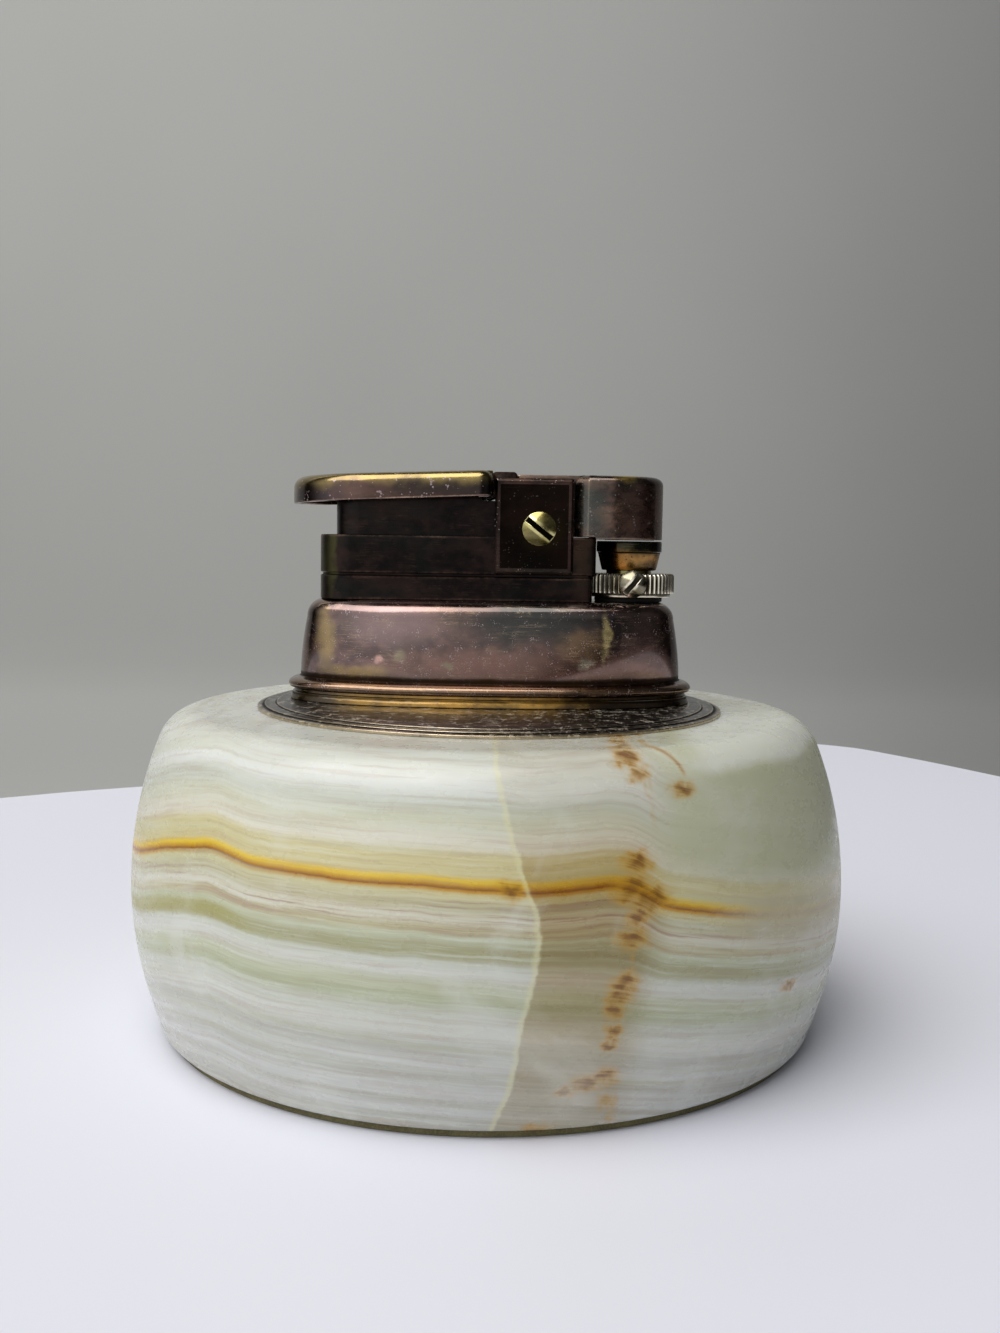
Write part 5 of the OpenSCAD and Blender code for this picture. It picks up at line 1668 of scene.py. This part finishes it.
@dataclass
class Spring:
    """One wound wire with flat ends."""

    name: str
    node: str
    body: str
    centre: tuple
    radius: float
    wire: float
    z0: float
    z1: float
    turns: float
    squash: tuple = ()

    def build(self) -> None:
        """Makes the wire: a circle of the wire's radius carried along a helix.

        At t turns the centre is (R cos 2 pi t, R sin 2 pi t, z(t)), where z rises slowly over the first and
        the last three quarters of a turn and evenly between them.
        """
        t = np.linspace(0, self.turns, int(self.turns * 40) + 1)
        a = 2 * math.pi * t
        ease = 0.75
        rate = 0.35 + 0.65 * np.clip(np.minimum(t, self.turns - t) / ease, 0, 1)
        rise = np.concatenate([[0], np.cumsum((rate[1:] + rate[:-1]) / 2)])
        z = self.z0 + self.wire + (self.z1 - self.z0 - 2 * self.wire) * rise / rise[-1]
        u = np.linspace(0, 2 * math.pi, 12, endpoint=False)[:, None]
        r = self.radius + self.wire * np.cos(u)
        p = np.stack([self.centre[0] + r * np.cos(a), self.centre[1] + r * np.sin(a),
                      z + self.wire * np.sin(u)], -1)
        obj = Surface().grid(p, cap_start=True, cap_end=True).piece(self.name, 60)
        fit(obj, SPRING, self.body, self.node)
        if self.squash:
            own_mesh(obj)


@dataclass
class Movement:
    """Smooth forms of the inner turned parts, the wheel and the springs.

    `tank` is (inner radius, outer radius, z0, z1), and `grip` the rubber ring's radius, height and thickness.
    """

    axle: tuple = (6.55, 69.3)
    wheel_r: tuple = (1.3, 4.3)
    wheel_half: float = 2.1
    tooth: float = 0.22
    teeth: int = 36
    tank: tuple = (23.0, 24.0, 12.0, 43.4)
    grip: tuple = (24.45, 20.0, 0.9)

    def filed(self, a: Array, out: Array, h: Array) -> Array:
        """Change of the wheel's radius: the mean of two triangle waves that slant either way across its width.

        With n teeth of depth d and the wave T of period 1, it is -d (T(n a / 2 pi + 0.9 h) + T(n a / 2 pi -
        0.9 h)) / 2 on the rim.

        Args:
            a: angles round the wheel.
            out: radii.
            h: places across its width.

        Returns:
            The changes.
        """
        turns = a * self.teeth / (2 * math.pi)
        one, two = (np.abs(((turns + slant * h) % 1) - 0.5) * 2 for slant in (0.9, -0.9))
        return -self.tooth * (one + two) / 2 * np.clip((out - 3.9) / 0.3, 0, 1)

    def wheel(self) -> None:
        """Makes the spark wheel."""
        (bore, r), w = self.wheel_r, self.wheel_half
        line = rounded([(bore, -w), (r, -w), (r, w), (bore, w)], [0.1, 0.2, 0.2, 0.1])
        rim = [(r, across) for across in np.linspace(-1.7, 1.7, 9)]
        at = int(np.argmax(line[:, 0] > r - 0.01)) + 1
        line = np.concatenate([line[:at], rim, line[at:]])
        wheel = Surface().turned(line, self.axle, 360, Plane.FRONT, hollow=True, depth=self.filed)
        fit(wheel.piece("file_wheel", 30), HARD_STEEL, "wheel", "spark_wheel")

    def build(self) -> None:
        """Makes the wheel, the tank's shell, its rubber ring and the springs."""
        self.wheel()
        r0, r1, z0, z1 = self.tank
        shell = rounded([(r0, z0), (r1, z0), (r1, z1), (r0, z1)], [0.3, 0.6, 0.1, 0.1])
        at = int(np.argmax(shell[:, 1] > z0 + 0.9)) + 1
        r, z, thick = self.grip
        shell = np.concatenate([shell[:at], arc(r, z, thick + 0.05, 240, 120, 10), shell[at:]])
        fit(Surface().turned(shell, sides=160, hollow=True).piece("tank_tube"), BRASS, "insert", "tank_shell")
        grip = arc(r, z, thick, 0, 345, 23)
        fit(Surface().turned(grip, sides=128, hollow=True).piece("rubber_ring"), RUBBER, "insert", "grip_ring")
        for spring in (
            Spring("lever_return_spring", "lever_spring", "insert", (-11.5, 0), 2.4, 0.35, 60.9, 74.4, 9,
                   ("lever_press", 60.9, 0.63)),
            Spring("flint_feed_spring", "flint_spring", "insert", (6.55, 0), 1.0, 0.25, 38.0, 59.94, 10),
            Spring("jet_seat_spring", "jet_spring", "insert", (19.6, 0), 1.65, 0.22, 55.0, 62.0, 6),
            Spring("refill_valve_spring", "refill_spring", "insert", (-9, 0), 1.6, 0.22, 14.6, 21.0, 4,
                   ("refill_press", 21.0, 0.8125)),
        ):
            spring.build()


def dress_nodes() -> None:
    """Gives each CAD node that still shows a procedural finish."""
    chosen = {
        DARK_COPPER: ("thumb_lever", "hood_arms"),
        BRASS: ("tank_base", "tank_top", "tie_posts", "flint_tube", "flint_screw", "refill_valve", "valve_body",
                "seal_holder"),
        STEEL: ("frame_screws", "axle_spacers", "hinge_pins", "pad_screws", "wheel_spacer", "refill_stem"),
        HARD_STEEL: ("pawl", "ratchet_wheel", "flint"),
        RUBBER: ("hood_seal",),
    }
    for finish, names in chosen.items():
        for name in names:
            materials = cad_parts[name].data.materials
            if not materials:
                materials.append(finish.material())
            for k in range(len(materials)):
                materials[k] = finish.material()
            LOG.info("%s keeps its CAD mesh, in %s", name, finish.name)


# ---------------------------------------------------------------- stage

@dataclass
class Stage:
    """Pale table, grey wall, soft lamps and the camera.

    `edge` is the table's outline (x, y), `sweep` the wall's profile (y, z), `lobes` are the room's lights as
    (direction, cosine of the rim, strength), and a lamp is (name, place, aim, width, height, watts, colour).
    """

    eye: tuple = (0.00146, -0.1932, 0.06759)
    down: float = 5.31
    roll: float = 0.84
    lens: float = 36.486
    edge: tuple = ((-126.5, 150.2), (-96.1, 168.4), (0, 214), (60, 243), (98, 266), (118, 261), (131, 244),
                   (151.4, 205), (190, 120), (330, -60), (420, -300), (0, -420), (-420, -300), (-330, 0),
                   (-200, 95), (-126.5, 150.2))
    sweep: tuple = ((-900, -260), (500, -260), (900, -250), (1050, -120), (1080, 200), (1080, 1800))
    wall_half: float = 2600.0
    lobes: tuple = (((-0.62, -0.75, 0.4), 0.45, 0.95), ((0.7, -0.7, 0.3), 0.75, 0.07))
    behind: float = 0.31
    lamps: tuple = (("key_window", (-0.66, -0.6, 1.82), (0, 0, 0.03), 1.9, 1.9, 39.0, (1.0, 0.99, 0.97)),
                    ("back_wash", (-0.5, 0.4, 0.7), (-0.25, 1.08, 0.35), 0.6, 0.6, 1.2, (1.0, 1.0, 1.0)))

    def camera(self) -> None:
        """Places the camera as the photograph's: level with the pad, a little above, and slightly rolled."""
        data = bpy.data.cameras.new("camera")
        data.lens, data.sensor_width = self.lens, 36.0
        data.clip_start, data.clip_end = 0.01, 20.0
        cam = bpy.data.objects.new("camera", data)
        cam.location = self.eye
        tilt = Euler((math.radians(90 - self.down), 0, 0)).to_matrix()
        cam.rotation_euler = (tilt @ Matrix.Rotation(math.radians(self.roll), 3, "Z")).to_euler()
        bpy.context.scene.collection.objects.link(cam)
        bpy.context.scene.camera = cam

    def plain(self, name: str, colour: str, spread: float, rough: float, right: float = 1.0
              ) -> bpy.types.Material:
        """Matt material whose colour drifts a little over the surface and darkens to the far right as painted
        shade.

        Args:
            name: name of the material.
            colour: its hex colour.
            spread: factor of the colour where it drifts most.
            rough: its roughness.
            right: factor of the colour from 620 mm to the right onwards, painted shade.

        Returns:
            The material.
        """
        made = bpy.data.materials.new(name)
        made.use_nodes = True
        w = Wiring(made.node_tree)
        shader = made.node_tree.nodes["Principled BSDF"]
        drift = w.noise(w.place(), 0.004, 2)
        other = tuple(v * spread for v in paint(colour)[:3]) + (1.0,)
        tone = w.mix(w.fade(drift, 0.3, 0.7), paint(colour), other)
        # Painted shade: the colour falls to the factor right between 40 and 620 mm
        side = w.fade(w.node("SeparateXYZ", {0: w.place()}).outputs[0], 40, 620, 1.0, right)
        w.put(shader.inputs["Base Color"], w.vector("MULTIPLY", tone, side))
        shader.inputs["Roughness"].default_value = rough
        return made

    def set_up(self) -> None:
        """Makes the table, the wall, the world and the lamps."""
        line = flowing(self.edge, 10)[:-1][::-1]
        rows = [(0.0, -25.0), (0.0, -1.2), (0.4, -0.35), (1.2, 0.0), (1.4, 0.0)]
        table = Surface().carried(line, rows).piece("table_top")
        table.data.materials.append(self.plain("table_paint", "e9eaf4", 0.985, 0.42))
        p = flowing(self.sweep, 8)
        x = np.linspace(-self.wall_half, self.wall_half, 9)
        grid = np.stack(np.broadcast_arrays(x[:, None], p[None, :, 0], p[None, :, 1]), -1)
        wall = Surface().grid(grid, round_i=False).piece("wall_sweep")
        # The wall's far right gets painted shade
        wall.data.materials.append(self.plain("wall_paint", "a6a6a3", 0.97, 0.8, 0.64))
        self.room()
        for lamp in self.lamps:
            self.lamp(*lamp)

    def room(self) -> None:
        """Makes the room's own light: a ceiling that brightens upwards and two soft lobes of a direction.

        A lobe is the smooth step of the direction's cosine to the lobe's middle, times its strength. The camera
        sees an even grey in place of it all, where the wall ends.
        """
        world = bpy.data.worlds.new("room")
        world.use_nodes = True
        w = Wiring(world.node_tree)
        way = w.node("TexCoord").outputs["Generated"]
        total = w.fade(w.node("SeparateXYZ", {0: way}).outputs[2], 0.02, 0.6, 0.01, 0.035)
        for middle, edge, strength in self.lobes:
            near = w.vector("DOT_PRODUCT", way, tuple(Vector(middle).normalized()))
            total = w.plus(total, w.fade(near, edge, 0.99, 0.0, strength))
        total = w.fade(w.node("LightPath").outputs["Is Camera Ray"], 0.0, 1.0, total, self.behind)
        w.put(world.node_tree.nodes["Background"].inputs[0], (0.95, 0.97, 1.0, 1))
        w.put(world.node_tree.nodes["Background"].inputs[1], total)
        bpy.context.scene.world = world

    def lamp(self, name: str, at: tuple, towards: tuple, width: float, height: float, power: float,
             colour: tuple) -> None:
        """Adds a soft rectangular lamp.

        Args:
            name: name of the lamp.
            at: where it stands, in metres.
            towards: the point it faces.
            width: its width in metres.
            height: its height in metres.
            power: its power in watts.
            colour: its colour.
        """
        data = bpy.data.lights.new(name, "AREA")
        data.shape, data.size, data.size_y = "RECTANGLE", width, height
        data.energy, data.color = power, colour
        obj = bpy.data.objects.new(name, data)
        obj.location = at
        obj.rotation_euler = (Vector(towards) - Vector(at)).to_track_quat("-Z", "Y").to_euler()
        bpy.context.scene.collection.objects.link(obj)


def main() -> None:
    """Builds the stage and the sub-assemblies in order."""
    logging.basicConfig(level=logging.INFO, format="%(message)s", force=True)
    scene = bpy.context.scene
    scene.view_settings.view_transform = "Standard"
    stage = Stage()
    stage.camera()
    stage.set_up()
    for part in (Base(), Collar(), Chassis(), Lever(), Hood(), Burner(), Movement()):
        part.build()
        LOG.info("%s done", type(part).__name__)
    dress_nodes()


if __name__ == "__main__":
    main()
